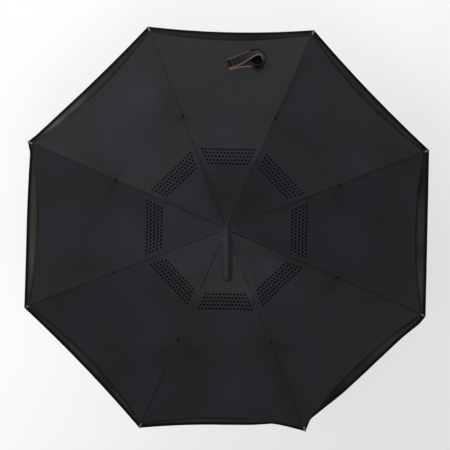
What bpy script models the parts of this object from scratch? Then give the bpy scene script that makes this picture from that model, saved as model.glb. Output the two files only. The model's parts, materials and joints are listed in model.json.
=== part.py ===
"""Inverted umbrella with a double eight-ribbed canopy, modelled open.

Metres, +Z up. The origin is the centre of the C-shaped grip, on the shaft's axis.
The sky side faces +Z. Ribs are numbered anticlockwise seen from the sky side.
"""

import math

import bmesh
import bpy
from mathutils import Matrix, Vector

# Driving dimensions of the folding frame
RIB_COUNT = 8
RIB_STEP = math.tau / RIB_COUNT
HALF_GORE = RIB_STEP / 2
TIP_RADIUS = 0.530
ELBOW_RADIUS = 0.175
TACK_RADIUS = 0.305
HINGE_RADIUS = 0.016
SPOKE_RISE = math.radians(12)
SPOKE_FOLDED_RISE = math.radians(87)
ROD_FALL = math.radians(26)
ROD_HALF_BEND = math.radians(9.3)

# Fits
GAP = 0.0003
OVERRUN = 0.002
WELD_DISTANCE = 0.000003
SMOOTH_ANGLE = math.radians(40)

# Shaft and handle
SHAFT_RADIUS = 0.007
SHAFT_WALL = 0.0009
GRIP_RADIUS = 0.042
GRIP_DEPTH = 0.022
GRIP_WIDTH = 0.026
GRIP_MOUTH_HALF_ANGLE = math.radians(35)
GRIP_DOME_SHARES = (0.12, 0.45, 0.75)
STEM_FOOT_RADIUS = 0.0105
STEM_WAIST_RADIUS = 0.0115
STEM_TOP_RADIUS = 0.0102
STEM_TOP = 0.105
SHAFT_SEAT_DEPTH = 0.042
COLLAR_HEIGHT = 0.010
COLLAR_LIP = 0.0018
COLLAR_RIM = 0.0022

# Spokes, pins and elbow joints
SPOKE_WIDTH = 0.0016
SPOKE_HEIGHT = 0.004
CHANNEL_WALL = 0.0012
CHANNEL_HEIGHT = 0.0044
CHANNEL_WEB = 0.0007
CHANNEL_OPEN_END = 0.016
PIN_RADIUS = 0.001
CHEEK_WALL = 0.0012
CHEEK_EYE_RADIUS = 0.0032
CHEEK_LIP = 0.0008
CHEEK_EYE_START = math.radians(60)
CHEEK_EYE_SWEEP = math.radians(195)
ROD_RADIUS = 0.002
ROD_END_RADIUS = 0.0013
SLEEVE_WALL = 0.0011
SLEEVE_START = 0.0045
SLEEVE_LENGTH = 0.018
SLEEVE_FLOOR = 0.0008
FOLDED_CLEARANCE = 0.0008
WIRE_RADIUS = 0.00055

# Rib tips
TIP_WALL = 0.0006
TIP_SOCKET = 0.008
TIP_NEEDLE_RADIUS = 0.0011
TIP_NEEDLE_LENGTH = 0.0065
TIP_BALL_RADIUS = 0.0015
TIP_BALL_ROOT_SHARE = 1.3

# Crown and runner
HUB_HEIGHT = 0.009
HUB_RIM = 0.0026
HUB_EDGE = 0.0012
CAP_THICKNESS = 0.0018
CAP_DOME = 0.0012
CAP_FLAT_SHARE = 1 / 3
CAP_STUD_DEPTH = 0.008
RUNNER_NECK = 0.0035
RUNNER_GRIP_LENGTH = 0.042
RUNNER_GRIP_WAIST = 0.0012
RUNNER_FLARE = 0.0010
RUNNER_PARKING = 0.0035
BUTTON_WIDTH = 0.0050
BUTTON_HEIGHT = 0.011
BUTTON_TRAVEL = 0.002
BUTTON_PROUD = 0.0032
BUTTON_BEVEL = 0.001

# Canopy
FABRIC = 0.0005
UPPER_CENTRE_RADIUS = 0.0035
UPPER_CORNER_INSET = 0.008
UPPER_HEM_HOLLOW = 0.0233
LOWER_CORNER_INSET = 0.004
LOWER_HEM_HOLLOW = 0.0020
HEM_HOLLOW_POWER = 3
LOWER_CENTRE_CLEARANCE = 0.0035
UPPER_CLEARANCE = 0.0012
LOWER_CLEARANCE = 0.0006
ELBOW_CLEARANCE = 0.0020
CROWN_CLEARANCE = 0.0006
CREASE_EASE = 0.060
SAG_SHARE = 0.05
LAID_CLEARANCE = 0.0006
ACROSS_SHARES = (-1, -0.5, 0, 0.5)

# Soft pieces on the sky side
CENTRE_SLEEVE_WIDTH = 0.031
CENTRE_SLEEVE_HEIGHT = 0.015
CENTRE_SLEEVE_REACH = 0.129
CENTRE_SLEEVE_BACK = 0.010
CENTRE_SLEEVE_SHARES = (0, 0.02, 0.08, 0.2, 0.4, 0.6, 0.8, 0.92, 0.98, 1)
CENTRE_SLEEVE_BLUNT_POWER = 8
CENTRE_SLEEVE_END_SHARE = 0.25
STRAP_WIDTH = 0.023
STRAP_THICKNESS = 0.0016
STRAP_LENGTH = 0.058
STRAP_INSET = 0.124
STRAP_LIFT_ANGLE = math.radians(24)
STRAP_TURN = 0.016
STRAP_LOOP_LENGTH = 0.040
STRAP_LOOP_WIDTH = 0.036
STRAP_LOOP_SWEEP = math.radians(306)
STRAP_FLAT_SHARES = (0, 0.4, 0.8, 1)
STRAP_TURN_SHARES = (0.25, 0.5, 0.75, 1)

# Facet counts
FINE_SIDES = 24
ROUND_SIDES = 16
SMALL_SIDES = 8
WIRE_SIDES = 6
WIRE_STEPS_PER_RIB = 4
SOCKET_STEPS = 3
CANOPY_INNER_STEPS = 3
CANOPY_MIDDLE_STEPS = 3
CANOPY_OUTER_STEPS = 4

# The frame worked out from the driving dimensions
SPOKE_LENGTH = (ELBOW_RADIUS - HINGE_RADIUS) / math.cos(SPOKE_RISE)
RUNNER_FOOT = HUB_HEIGHT / 2 + RUNNER_NECK + RUNNER_GRIP_LENGTH
RUNNER_PARKED_Z = STEM_TOP + GAP + COLLAR_HEIGHT + RUNNER_PARKING + RUNNER_FOOT
CROWN_Z = RUNNER_PARKED_Z + 2 * SPOKE_LENGTH * math.sin(SPOKE_FOLDED_RISE)
ELBOW_Z = CROWN_Z - SPOKE_LENGTH * math.sin(SPOKE_RISE)
RUNNER_Z = CROWN_Z - 2 * SPOKE_LENGTH * math.sin(SPOKE_RISE)

CHANNEL_INNER_HALF = SPOKE_WIDTH / 2 + GAP
CHANNEL_OUTER_HALF = CHANNEL_INNER_HALF + CHANNEL_WALL
CHEEK_INNER_HALF = CHANNEL_OUTER_HALF + GAP
CHEEK_OUTER_HALF = CHEEK_INNER_HALF + CHEEK_WALL
SLEEVE_RADIUS = ROD_RADIUS + GAP + SLEEVE_WALL
ROD_OFFSET = SPOKE_HEIGHT / 2 + FOLDED_CLEARANCE + SLEEVE_RADIUS
PIN_HOLE_RADIUS = PIN_RADIUS + GAP
WIRE_SWAY = HINGE_RADIUS - math.sqrt(HINGE_RADIUS**2 - CHANNEL_OUTER_HALF**2)
WIRE_HOLE_RADIUS = WIRE_RADIUS + WIRE_SWAY + GAP

ROD_START_FALL = ROD_FALL - ROD_HALF_BEND
ROD_END_FALL = ROD_FALL + ROD_HALF_BEND
ROD_START_R = ELBOW_RADIUS - ROD_OFFSET * math.sin(ROD_START_FALL)
ROD_START_Z = ELBOW_Z - ROD_OFFSET * math.cos(ROD_START_FALL)
ROD_CHORD = (TIP_RADIUS - ROD_START_R) / math.cos(ROD_FALL)
ROD_BEND_RADIUS = ROD_CHORD / (2 * math.sin(ROD_HALF_BEND))
ROD_LENGTH = 2 * ROD_HALF_BEND * ROD_BEND_RADIUS
ROD_SEAT = SLEEVE_START + SLEEVE_FLOOR + GAP
ROD_CENTRE_R = ROD_START_R - ROD_BEND_RADIUS * math.sin(ROD_START_FALL)
ROD_CENTRE_Z = ROD_START_Z - ROD_BEND_RADIUS * math.cos(ROD_START_FALL)

HUB_RADIUS = HINGE_RADIUS + HUB_RIM
HUB_GROOVE_RADIUS = HINGE_RADIUS - WIRE_RADIUS - GAP
HUB_GROOVE_HALF = WIRE_RADIUS + GAP
HUB_BORE = SHAFT_RADIUS + GAP
CAP_FOOT_Z = CROWN_Z + HUB_HEIGHT / 2 + GAP
CROWN_TOP_Z = CAP_FOOT_Z + CAP_THICKNESS + CAP_DOME
RUNNER_BORE = SHAFT_RADIUS + GAP
SLOT_FOOT_RADIUS = HINGE_RADIUS - CHANNEL_HEIGHT / 2 - GAP
RUNNER_GRIP_RADIUS = SLOT_FOOT_RADIUS - GAP - RUNNER_FLARE
RUNNER_GRIP_TOP = -(HUB_HEIGHT / 2 + RUNNER_NECK)
BUTTON_Z = RUNNER_GRIP_TOP - RUNNER_GRIP_LENGTH / 2

# Heights of the two layers along a rib: the top layer's underside and the lower layer's top
UPPER_LIFT = ROD_RADIUS / math.cos(ROD_END_FALL) + UPPER_CLEARANCE
LOWER_LIFT = -ROD_RADIUS / math.cos(ROD_END_FALL) - LOWER_CLEARANCE
UPPER_ELBOW_Z = ELBOW_Z + CHEEK_EYE_RADIUS + ELBOW_CLEARANCE
LOWER_ELBOW_DROP = SLEEVE_RADIUS / math.cos(ROD_START_FALL) + LOWER_CLEARANCE
UPPER_FLAT_RADIUS = HUB_RADIUS + HUB_EDGE
LOWER_CENTRE_RADIUS = HUB_RADIUS + LOWER_CENTRE_CLEARANCE
LOWER_CENTRE_Z = RUNNER_Z - HUB_HEIGHT / 2
UPPER_CORNER_RADIUS = TIP_RADIUS - UPPER_CORNER_INSET
LOWER_CORNER_RADIUS = TIP_RADIUS - LOWER_CORNER_INSET
STRAP_APOTHEM = TIP_RADIUS - STRAP_INSET


def clear_scene():
    for obj in list(bpy.data.objects):
        bpy.data.objects.remove(obj, do_unlink=True)


def make_material(name, colour, roughness, metallic=0.0):
    material = bpy.data.materials.new(name)
    material.use_nodes = True
    shader = material.node_tree.nodes["Principled BSDF"]
    shader.inputs["Base Color"].default_value = (*colour, 1.0)
    shader.inputs["Roughness"].default_value = roughness
    shader.inputs["Metallic"].default_value = metallic
    return material


def finish_mesh(name, bm):
    """Turn a bmesh into a mesh with its faces pointing out."""
    bmesh.ops.remove_doubles(bm, verts=bm.verts, dist=WELD_DISTANCE)
    bmesh.ops.recalc_face_normals(bm, faces=bm.faces)
    mesh = bpy.data.meshes.new(name)
    bm.to_mesh(mesh)
    bm.free()
    mesh.shade_smooth()
    mesh.set_sharp_from_angle(angle=SMOOTH_ANGLE)
    return mesh


def place(name, mesh, material, location=(0, 0, 0), rotation=(0, 0, 0)):
    obj = bpy.data.objects.new(name, mesh)
    obj.location = location
    obj.rotation_euler = rotation
    if not mesh.materials:
        mesh.materials.append(material)
    bpy.context.scene.collection.objects.link(obj)
    return obj


def combine(name, mesh, others, operation):
    """Boolean a mesh with other meshes, one after another, and return the result."""
    body = bpy.data.objects.new(name, mesh)
    bpy.context.scene.collection.objects.link(body)
    tools = []
    for index, other in enumerate(others):
        tool = bpy.data.objects.new(f"{name}_tool_{index}", other)
        tool.hide_render = True
        tool.display_type = "WIRE"
        bpy.context.scene.collection.objects.link(tool)
        tools.append(tool)
        step = body.modifiers.new(f"step_{index}", "BOOLEAN")
        step.operation = operation
        step.solver = "EXACT"
        step.object = tool
    bpy.context.view_layer.update()
    result = bpy.data.meshes.new_from_object(
        body.evaluated_get(bpy.context.evaluated_depsgraph_get())
    )
    for obj in [body, *tools]:
        bpy.data.objects.remove(obj, do_unlink=True)
    bm = bmesh.new()
    bm.from_mesh(result)
    bmesh.ops.dissolve_degenerate(bm, dist=WELD_DISTANCE, edges=bm.edges)
    return finish_mesh(name, bm)


def loft(bm, rings, closed=False):
    """Skin a run of point rings. An open run gets a flat cap at each end."""
    loops = [[bm.verts.new(point) for point in ring] for ring in rings]
    count = len(loops[0])
    last = len(loops) if closed else len(loops) - 1
    for index in range(last):
        here, there = loops[index], loops[(index + 1) % len(loops)]
        for side in range(count):
            beside = (side + 1) % count
            bm.faces.new((here[side], here[beside], there[beside], there[side]))
    if not closed:
        bm.faces.new(reversed(loops[0]))
        bm.faces.new(loops[-1])
    return bm


def lathe(name, profile, sides, closed=False):
    """Turn a profile of (radius, height) points about Z. A closed profile has a bore."""
    rings = []
    for radius, height in profile:
        rings.append(
            [
                (
                    radius * math.cos(math.tau * side / sides),
                    radius * math.sin(math.tau * side / sides),
                    height,
                )
                for side in range(sides)
            ]
        )
    return finish_mesh(name, loft(bmesh.new(), rings, closed))


def block(name, low, high):
    """A box between two corners."""
    bm = bmesh.new()
    low, high = Vector(low), Vector(high)
    bmesh.ops.create_cube(bm, size=1)
    bmesh.ops.scale(bm, vec=high - low, verts=bm.verts)
    bmesh.ops.translate(bm, vec=(low + high) / 2, verts=bm.verts)
    return finish_mesh(name, bm)


def cross_bar(name, radius, half_length, centre=(0, 0, 0), sides=SMALL_SIDES):
    """A round bar along Y."""
    bm = bmesh.new()
    bmesh.ops.create_cone(
        bm,
        cap_ends=True,
        segments=sides,
        radius1=radius,
        radius2=radius,
        depth=2 * half_length,
        matrix=Matrix.Translation(centre) @ Matrix.Rotation(math.pi / 2, 4, "X"),
    )
    return finish_mesh(name, bm)


def plate(name, outline, low_y, high_y):
    """Extrude an outline of (x, z) points along Y."""
    bm = bmesh.new()
    rings = [[(x, y, z) for x, z in outline] for y in (low_y, high_y)]
    return finish_mesh(name, loft(bm, rings))


def capsule_outline(length, radius, sides=SMALL_SIDES):
    """A bar with round ends from x = 0 to x = length."""
    points = []
    for end, start in ((length, -math.pi / 2), (0, math.pi / 2)):
        for step in range(sides // 2 + 1):
            angle = start + math.pi * step / (sides // 2)
            points.append((end + radius * math.cos(angle), radius * math.sin(angle)))
    return points


def rib_angle(index):
    return HALF_GORE + index * RIB_STEP


def rib_point(index, radius, height):
    angle = rib_angle(index)
    return (radius * math.cos(angle), radius * math.sin(angle), height)


def rod_height(radius):
    """Height of the rod's axis at a distance from the shaft's axis."""
    return ROD_CENTRE_Z + math.sqrt(ROD_BEND_RADIUS**2 - (radius - ROD_CENTRE_R) ** 2)


def eased(share):
    """1 at share 0 and 0 at share 1, level at both ends."""
    share = min(max(share, 0), 1)
    return 1 - share * share * (3 - 2 * share)


def between(radius, near, far):
    """The height at a radius on the straight line between two (radius, height) points."""
    share = (radius - near[0]) / (far[0] - near[0])
    return near[1] + (far[1] - near[1]) * share


def upper_rib_height(radius):
    """Underside of the top layer along a rib."""
    top = CROWN_TOP_Z + CROWN_CLEARANCE
    if radius <= UPPER_FLAT_RADIUS:
        return top
    if radius <= ELBOW_RADIUS:
        return between(radius, (UPPER_FLAT_RADIUS, top), (ELBOW_RADIUS, UPPER_ELBOW_Z))
    spare = UPPER_ELBOW_Z - rod_height(ELBOW_RADIUS) - UPPER_LIFT
    share = (radius - ELBOW_RADIUS) / (TACK_RADIUS - ELBOW_RADIUS)
    return rod_height(radius) + UPPER_LIFT + spare * eased(share)


def lower_rib_height(radius):
    """Top of the lower layer along a rib."""
    elbow = rod_height(ELBOW_RADIUS) - LOWER_ELBOW_DROP
    if radius <= ELBOW_RADIUS:
        return between(radius, (LOWER_CENTRE_RADIUS, LOWER_CENTRE_Z), (ELBOW_RADIUS, elbow))
    spare = -LOWER_ELBOW_DROP - LOWER_LIFT
    share = (radius - ELBOW_RADIUS) / CREASE_EASE
    return rod_height(radius) + LOWER_LIFT + spare * eased(share)


def layer_point(height_along_rib, rib_radius, across, gore_angle):
    """A point of a layer. Across runs from -1 at one rib to 1 at the next."""
    apothem = rib_radius * math.cos(HALF_GORE)
    half_width = apothem * math.tan(HALF_GORE)
    sag = SAG_SHARE * half_width * (1 - across * across)
    turn = Matrix.Rotation(gore_angle, 3, "Z")
    return turn @ Vector(
        (apothem, half_width * across, height_along_rib(rib_radius) - sag)
    )


def upper_top_at(x, y):
    """Height of the top layer's outer face above a point of the plan."""
    gore_angle = round(math.atan2(y, x) / RIB_STEP) * RIB_STEP
    apothem = x * math.cos(gore_angle) + y * math.sin(gore_angle)
    offset = y * math.cos(gore_angle) - x * math.sin(gore_angle)
    half_width = apothem * math.tan(HALF_GORE)
    across = offset / half_width if half_width else 0
    sag = SAG_SHARE * half_width * (1 - across**2)
    return upper_rib_height(apothem / math.cos(HALF_GORE)) - sag + FABRIC


def laid_on_top(ring):
    """The ring raised or lowered until its nearest point just clears the top layer."""
    lift = max(upper_top_at(point.x, point.y) + LAID_CLEARANCE - point.z for point in ring)
    return [point + Vector((0, 0, lift)) for point in ring]


def canopy_layer(name, height_along_rib, rib_radii, hem_hollow, offset):
    """One layer as a thin closed solid whose hem curves in between the ribs."""
    corner = rib_radii[-1]
    hem_dip = hem_hollow / math.cos(HALF_GORE)

    def ring(rib_radius, lift):
        reach_share = (rib_radius - rib_radii[0]) / (corner - rib_radii[0])
        points = []
        for gore in range(RIB_COUNT):
            for across in ACROSS_SHARES:
                pull = (1 - across**2) * reach_share**HEM_HOLLOW_POWER
                radius = rib_radius - hem_dip * pull
                point = layer_point(height_along_rib, radius, across, gore * RIB_STEP)
                points.append(point + Vector((0, 0, lift)))
        return points

    low, high = min(0, offset), max(0, offset)
    rings = [ring(radius, high) for radius in rib_radii]
    rings += [ring(radius, low) for radius in reversed(rib_radii)]
    return finish_mesh(name, loft(bmesh.new(), rings, closed=True))


def spread(start, end, steps):
    return [start + (end - start) * step / steps for step in range(steps + 1)]


def make_shaft(metal, rubber, trim):
    foot = STEM_TOP - SHAFT_SEAT_DEPTH
    top = CROWN_Z + HUB_HEIGHT / 2 - GAP
    inner = SHAFT_RADIUS - SHAFT_WALL
    tube = [(SHAFT_RADIUS, foot), (SHAFT_RADIUS, top), (inner, top), (inner, foot)]
    place("shaft_tube", lathe("shaft_tube", tube, FINE_SIDES, closed=True), metal)

    rings = []
    for turn, size in grip_stations():
        middle = Vector((math.cos(turn), 0, math.sin(turn)))
        ring = []
        for side in range(ROUND_SIDES):
            angle = math.tau * side / ROUND_SIDES
            out = GRIP_RADIUS + size * GRIP_DEPTH / 2 * math.cos(angle)
            wide = size * GRIP_WIDTH / 2 * math.sin(angle)
            ring.append(middle * out + Vector((0, wide, 0)))
        rings.append(ring)
    grip = finish_mesh("grip_loop", loft(bmesh.new(), rings))
    waist_z = GRIP_RADIUS + GRIP_DEPTH
    stem = lathe(
        "grip_stem",
        [
            (STEM_FOOT_RADIUS, GRIP_RADIUS),
            (STEM_FOOT_RADIUS, waist_z),
            (STEM_WAIST_RADIUS, (waist_z + STEM_TOP) / 2),
            (STEM_TOP_RADIUS, STEM_TOP),
        ],
        ROUND_SIDES,
    )
    bore = lathe(
        "grip_bore",
        [(SHAFT_RADIUS + GAP, foot - GAP), (SHAFT_RADIUS + GAP, STEM_TOP + OVERRUN)],
        FINE_SIDES,
    )
    handle = combine("handle_grip", grip, [stem], "UNION")
    place("handle_grip", combine("handle_grip", handle, [bore], "DIFFERENCE"), rubber)

    collar_foot = STEM_TOP + GAP
    collar_top = collar_foot + COLLAR_HEIGHT
    collar = [
        (STEM_TOP_RADIUS, collar_foot),
        (STEM_TOP_RADIUS, collar_foot + COLLAR_RIM),
        (SHAFT_RADIUS + COLLAR_LIP, collar_top),
        (SHAFT_RADIUS + GAP, collar_top),
        (SHAFT_RADIUS + GAP, collar_foot),
    ]
    place("handle_collar", lathe("handle_collar", collar, FINE_SIDES, closed=True), trim)


def grip_stations():
    """Turns along the C and the section's size there, with rounded ends."""
    first = GRIP_MOUTH_HALF_ANGLE
    last = math.tau - GRIP_MOUTH_HALF_ANGLE
    dome = GRIP_DEPTH / 2 / GRIP_RADIUS
    steps = ROUND_SIDES + SMALL_SIDES
    stations = []
    for share in GRIP_DOME_SHARES:
        turn = first + dome * (1 - math.sqrt(1 - share**2))
        stations.append((turn, share))
    for turn in spread(first + dome, last - dome, steps):
        stations.append((turn, 1))
    for share in reversed(GRIP_DOME_SHARES):
        turn = last - dome * (1 - math.sqrt(1 - share**2))
        stations.append((turn, share))
    return stations


def hub_mesh(name, slot_half_width, grooved):
    """A ring with a slot for each spoke, and a groove where it holds a hinge wire."""
    half = HUB_HEIGHT / 2
    groove = [
        (HUB_RADIUS, -HUB_GROOVE_HALF),
        (HUB_GROOVE_RADIUS, -HUB_GROOVE_HALF),
        (HUB_GROOVE_RADIUS, HUB_GROOVE_HALF),
        (HUB_RADIUS, HUB_GROOVE_HALF),
    ]
    profile = [
        (HUB_BORE, -half),
        (HUB_RADIUS - HUB_EDGE, -half),
        (HUB_RADIUS, -half + HUB_EDGE),
        *(groove if grooved else []),
        (HUB_RADIUS, half - HUB_EDGE),
        (HUB_RADIUS - HUB_EDGE, half),
        (HUB_BORE, half),
    ]
    ring = lathe(name, profile, 2 * FINE_SIDES, closed=True)
    slots = []
    for index in range(RIB_COUNT):
        slot = block(
            f"{name}_slot",
            (SLOT_FOOT_RADIUS, -slot_half_width, -half - OVERRUN),
            (HUB_RADIUS + OVERRUN, slot_half_width, half + OVERRUN),
        )
        slot.transform(Matrix.Rotation(rib_angle(index), 4, "Z"))
        slots.append(slot)
    return combine(name, ring, slots, "DIFFERENCE")


def wire_mesh(name):
    """The wire ring that the upper spokes' eyes turn on."""
    segments = WIRE_STEPS_PER_RIB * RIB_COUNT
    rings = []
    for step in range(segments):
        turn = Matrix.Rotation(math.tau * step / segments + HALF_GORE, 3, "Z")
        ring = []
        for side in range(WIRE_SIDES):
            angle = math.tau * side / WIRE_SIDES
            out = HINGE_RADIUS + WIRE_RADIUS * math.cos(angle)
            ring.append(turn @ Vector((out, 0, WIRE_RADIUS * math.sin(angle))))
        rings.append(ring)
    return finish_mesh(name, loft(bmesh.new(), rings, closed=True))


def make_crown(plastic, steel):
    at_crown = (0, 0, CROWN_Z)
    hub = hub_mesh("crown_hub", CHANNEL_INNER_HALF, grooved=True)
    place("crown_hub", hub, plastic, at_crown)
    place("crown_wire", wire_mesh("crown_wire"), steel, at_crown)
    stud = SHAFT_RADIUS - SHAFT_WALL - GAP
    cap = [
        (stud, -CAP_STUD_DEPTH),
        (stud, 0),
        (HUB_RADIUS, 0),
        (HUB_RADIUS, CAP_THICKNESS / 2),
        (HUB_RADIUS - HUB_EDGE, CAP_THICKNESS),
        (HUB_RADIUS * CAP_FLAT_SHARE, CAP_THICKNESS + CAP_DOME),
    ]
    mesh = lathe("crown_cap", cap, FINE_SIDES)
    place("crown_cap", mesh, plastic, (0, 0, CAP_FOOT_Z))


def make_runner(plastic, trim):
    """The sliding runner. Its slots run right through, so that the spoke eyes can pass."""
    at_runner = (0, 0, RUNNER_Z)
    hub = hub_mesh("runner_hub", CHEEK_INNER_HALF, grooved=False)
    place("runner_hub", hub, plastic, at_runner)

    top = -HUB_HEIGHT / 2 - GAP
    foot = RUNNER_GRIP_TOP - RUNNER_GRIP_LENGTH
    middle = (RUNNER_GRIP_TOP + foot) / 2
    profile = [
        (RUNNER_GRIP_RADIUS + RUNNER_FLARE, top),
        (RUNNER_GRIP_RADIUS + RUNNER_FLARE, RUNNER_GRIP_TOP),
        (RUNNER_GRIP_RADIUS, RUNNER_GRIP_TOP - RUNNER_NECK),
        (RUNNER_GRIP_RADIUS - RUNNER_GRIP_WAIST, middle),
        (RUNNER_GRIP_RADIUS, foot + RUNNER_NECK),
        (RUNNER_GRIP_RADIUS + RUNNER_FLARE, foot + RUNNER_FLARE),
        (RUNNER_GRIP_RADIUS, foot),
        (RUNNER_BORE, foot),
        (RUNNER_BORE, top),
    ]
    grip = lathe("runner_grip", profile, FINE_SIDES, closed=True)
    half_width = BUTTON_WIDTH / 2 + GAP
    half_height = BUTTON_HEIGHT / 2 + GAP
    pocket = block(
        "button_pocket",
        (-half_width, -RUNNER_GRIP_RADIUS - OVERRUN, BUTTON_Z - half_height),
        (half_width, 0, BUTTON_Z + half_height),
    )
    grip = combine("runner_grip", grip, [pocket], "DIFFERENCE")
    place("runner_grip", grip, plastic, at_runner)

    outer = RUNNER_GRIP_RADIUS - RUNNER_GRIP_WAIST + BUTTON_PROUD
    inner = RUNNER_BORE + BUTTON_TRAVEL + GAP
    bm = bmesh.new()
    bmesh.ops.create_cube(bm, size=1)
    bmesh.ops.scale(bm, vec=(BUTTON_WIDTH, outer - inner, BUTTON_HEIGHT), verts=bm.verts)
    outer_face = min(bm.faces, key=lambda face: face.calc_center_median().y)
    bmesh.ops.bevel(
        bm,
        geom=list(outer_face.edges),
        offset=BUTTON_BEVEL,
        segments=2,
        profile=0.5,
        affect="EDGES",
        material=-1,
    )
    mesh = finish_mesh("release_button", bm)
    location = (0, -(outer + inner) / 2, RUNNER_Z + BUTTON_Z)
    place("release_button", mesh, trim, location)


def upper_spoke_mesh():
    bar = plate(
        "upper_spoke",
        capsule_outline(SPOKE_LENGTH, SPOKE_HEIGHT / 2),
        -SPOKE_WIDTH / 2,
        SPOKE_WIDTH / 2,
    )
    holes = [
        cross_bar("wire_eye", WIRE_HOLE_RADIUS, OVERRUN),
        cross_bar("pin_eye", PIN_HOLE_RADIUS, OVERRUN, (SPOKE_LENGTH, 0, 0)),
    ]
    return combine("upper_spoke", bar, holes, "DIFFERENCE")


def lower_spoke_mesh():
    """A channel that opens towards the sky. It runs from the elbow along -X."""
    bar = plate(
        "lower_spoke",
        [(-x, z) for x, z in capsule_outline(SPOKE_LENGTH, CHANNEL_HEIGHT / 2)],
        -CHANNEL_OUTER_HALF,
        CHANNEL_OUTER_HALF,
    )
    web_top = -CHANNEL_HEIGHT / 2 + CHANNEL_WEB
    end = SPOKE_LENGTH + CHANNEL_HEIGHT + OVERRUN
    cuts = [
        block(
            "channel",
            (-end, -CHANNEL_INNER_HALF, web_top),
            (CHANNEL_HEIGHT + OVERRUN, CHANNEL_INNER_HALF, CHANNEL_HEIGHT),
        ),
        block(
            "elbow_mouth",
            (-CHANNEL_OPEN_END, -CHANNEL_INNER_HALF, -CHANNEL_HEIGHT),
            (CHANNEL_HEIGHT + OVERRUN, CHANNEL_INNER_HALF, CHANNEL_HEIGHT),
        ),
        cross_bar("wire_eye", WIRE_HOLE_RADIUS, 2 * OVERRUN, (-SPOKE_LENGTH, 0, 0)),
        cross_bar("pin_eye", PIN_HOLE_RADIUS, 2 * OVERRUN),
    ]
    return combine("lower_spoke", bar, cuts, "DIFFERENCE")


def elbow_joint_mesh():
    """Two cheeks on a pin, joined by the socket that holds the rod. X runs along the rod."""
    end = SLEEVE_START + SLEEVE_LENGTH
    top = -ROD_OFFSET + SLEEVE_RADIUS
    foot = -ROD_OFFSET - SLEEVE_RADIUS
    outline = []
    for step in range(SMALL_SIDES):
        angle = CHEEK_EYE_START + CHEEK_EYE_SWEEP * step / (SMALL_SIDES - 1)
        outline.append(
            (CHEEK_EYE_RADIUS * math.cos(angle), CHEEK_EYE_RADIUS * math.sin(angle))
        )
    outline += [(SLEEVE_START, foot), (end, foot), (end, top + CHEEK_LIP)]
    body = plate("elbow_joint", outline, -CHEEK_OUTER_HALF, CHEEK_OUTER_HALF)
    bore_arcs = spread(ROD_SEAT - GAP, end + OVERRUN, SOCKET_STEPS)
    bore = [(arc, ROD_RADIUS + GAP) for arc in bore_arcs]
    cuts = [
        block(
            "elbow_fork",
            (-CHANNEL_HEIGHT - OVERRUN, -CHEEK_INNER_HALF, foot - OVERRUN),
            (SLEEVE_START, CHEEK_INNER_HALF, CHEEK_EYE_RADIUS + OVERRUN),
        ),
        block(
            "folded_spoke_bed",
            (SLEEVE_START - OVERRUN, -CHEEK_INNER_HALF, top),
            (end + OVERRUN, CHEEK_INNER_HALF, CHEEK_EYE_RADIUS + OVERRUN),
        ),
        swept_rod("rod_bore", bore, ROUND_SIDES),
    ]
    forked = combine("elbow_joint", body, cuts, "DIFFERENCE")
    pin = cross_bar("elbow_pin", PIN_RADIUS, (CHEEK_INNER_HALF + CHEEK_OUTER_HALF) / 2)
    return combine("elbow_joint", forked, [pin], "UNION")


def rod_frame(arc_length):
    """Point and direction on the rod's arc, in the elbow joint's own frame."""
    turn = arc_length / ROD_BEND_RADIUS
    point = Vector(
        (
            ROD_BEND_RADIUS * math.sin(turn),
            0,
            -ROD_OFFSET - ROD_BEND_RADIUS * (1 - math.cos(turn)),
        )
    )
    return point, Vector((math.cos(turn), 0, -math.sin(turn)))


def swept_rod(name, stations, sides):
    """A round solid along the rod's arc, from (arc length, radius) stations."""
    rings = []
    for arc_length, radius in stations:
        point, direction = rod_frame(arc_length)
        up = direction.cross(Vector((0, -1, 0)))
        ring = []
        for side in range(sides):
            angle = math.tau * side / sides
            ring.append(
                point
                + up * radius * math.sin(angle)
                + Vector((0, radius * math.cos(angle), 0))
            )
        rings.append(ring)
    return finish_mesh(name, loft(bmesh.new(), rings))


def rib_rod_mesh():
    socket_end = SLEEVE_START + SLEEVE_LENGTH
    end = ROD_LENGTH - TIP_NEEDLE_LENGTH - TIP_BALL_RADIUS
    stations = [(arc, ROD_RADIUS) for arc in spread(ROD_SEAT, socket_end, SOCKET_STEPS)]
    for arc in spread(socket_end, end, SMALL_SIDES)[1:]:
        share = (arc - socket_end) / (end - socket_end)
        radius = ROD_RADIUS + (ROD_END_RADIUS - ROD_RADIUS) * share
        stations.append((arc, radius))
    return swept_rod("rib_rod", stations, SMALL_SIDES)


def rib_tip_mesh():
    """A metal thimble on the rod's end, with a needle and a small ball."""
    end = ROD_LENGTH
    seat = end - TIP_NEEDLE_LENGTH - TIP_BALL_RADIUS + GAP
    bore = ROD_END_RADIUS + GAP
    outer = bore + TIP_WALL
    mouth = seat - TIP_SOCKET
    taper = (ROD_RADIUS - ROD_END_RADIUS) * TIP_SOCKET / ROD_LENGTH
    stations = [
        (seat, bore),
        (mouth, bore + taper),
        (mouth, outer + taper),
        (seat, outer),
        (seat + TIP_WALL, outer),
        (seat + 2 * TIP_WALL, TIP_NEEDLE_RADIUS),
        (end - 2 * TIP_BALL_RADIUS, TIP_NEEDLE_RADIUS),
        (end - TIP_BALL_ROOT_SHARE * TIP_BALL_RADIUS, TIP_BALL_RADIUS),
        (end - TIP_BALL_RADIUS / 2, TIP_BALL_RADIUS),
        (end, TIP_NEEDLE_RADIUS),
    ]
    return swept_rod("rib_tip", stations, SMALL_SIDES)


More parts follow.
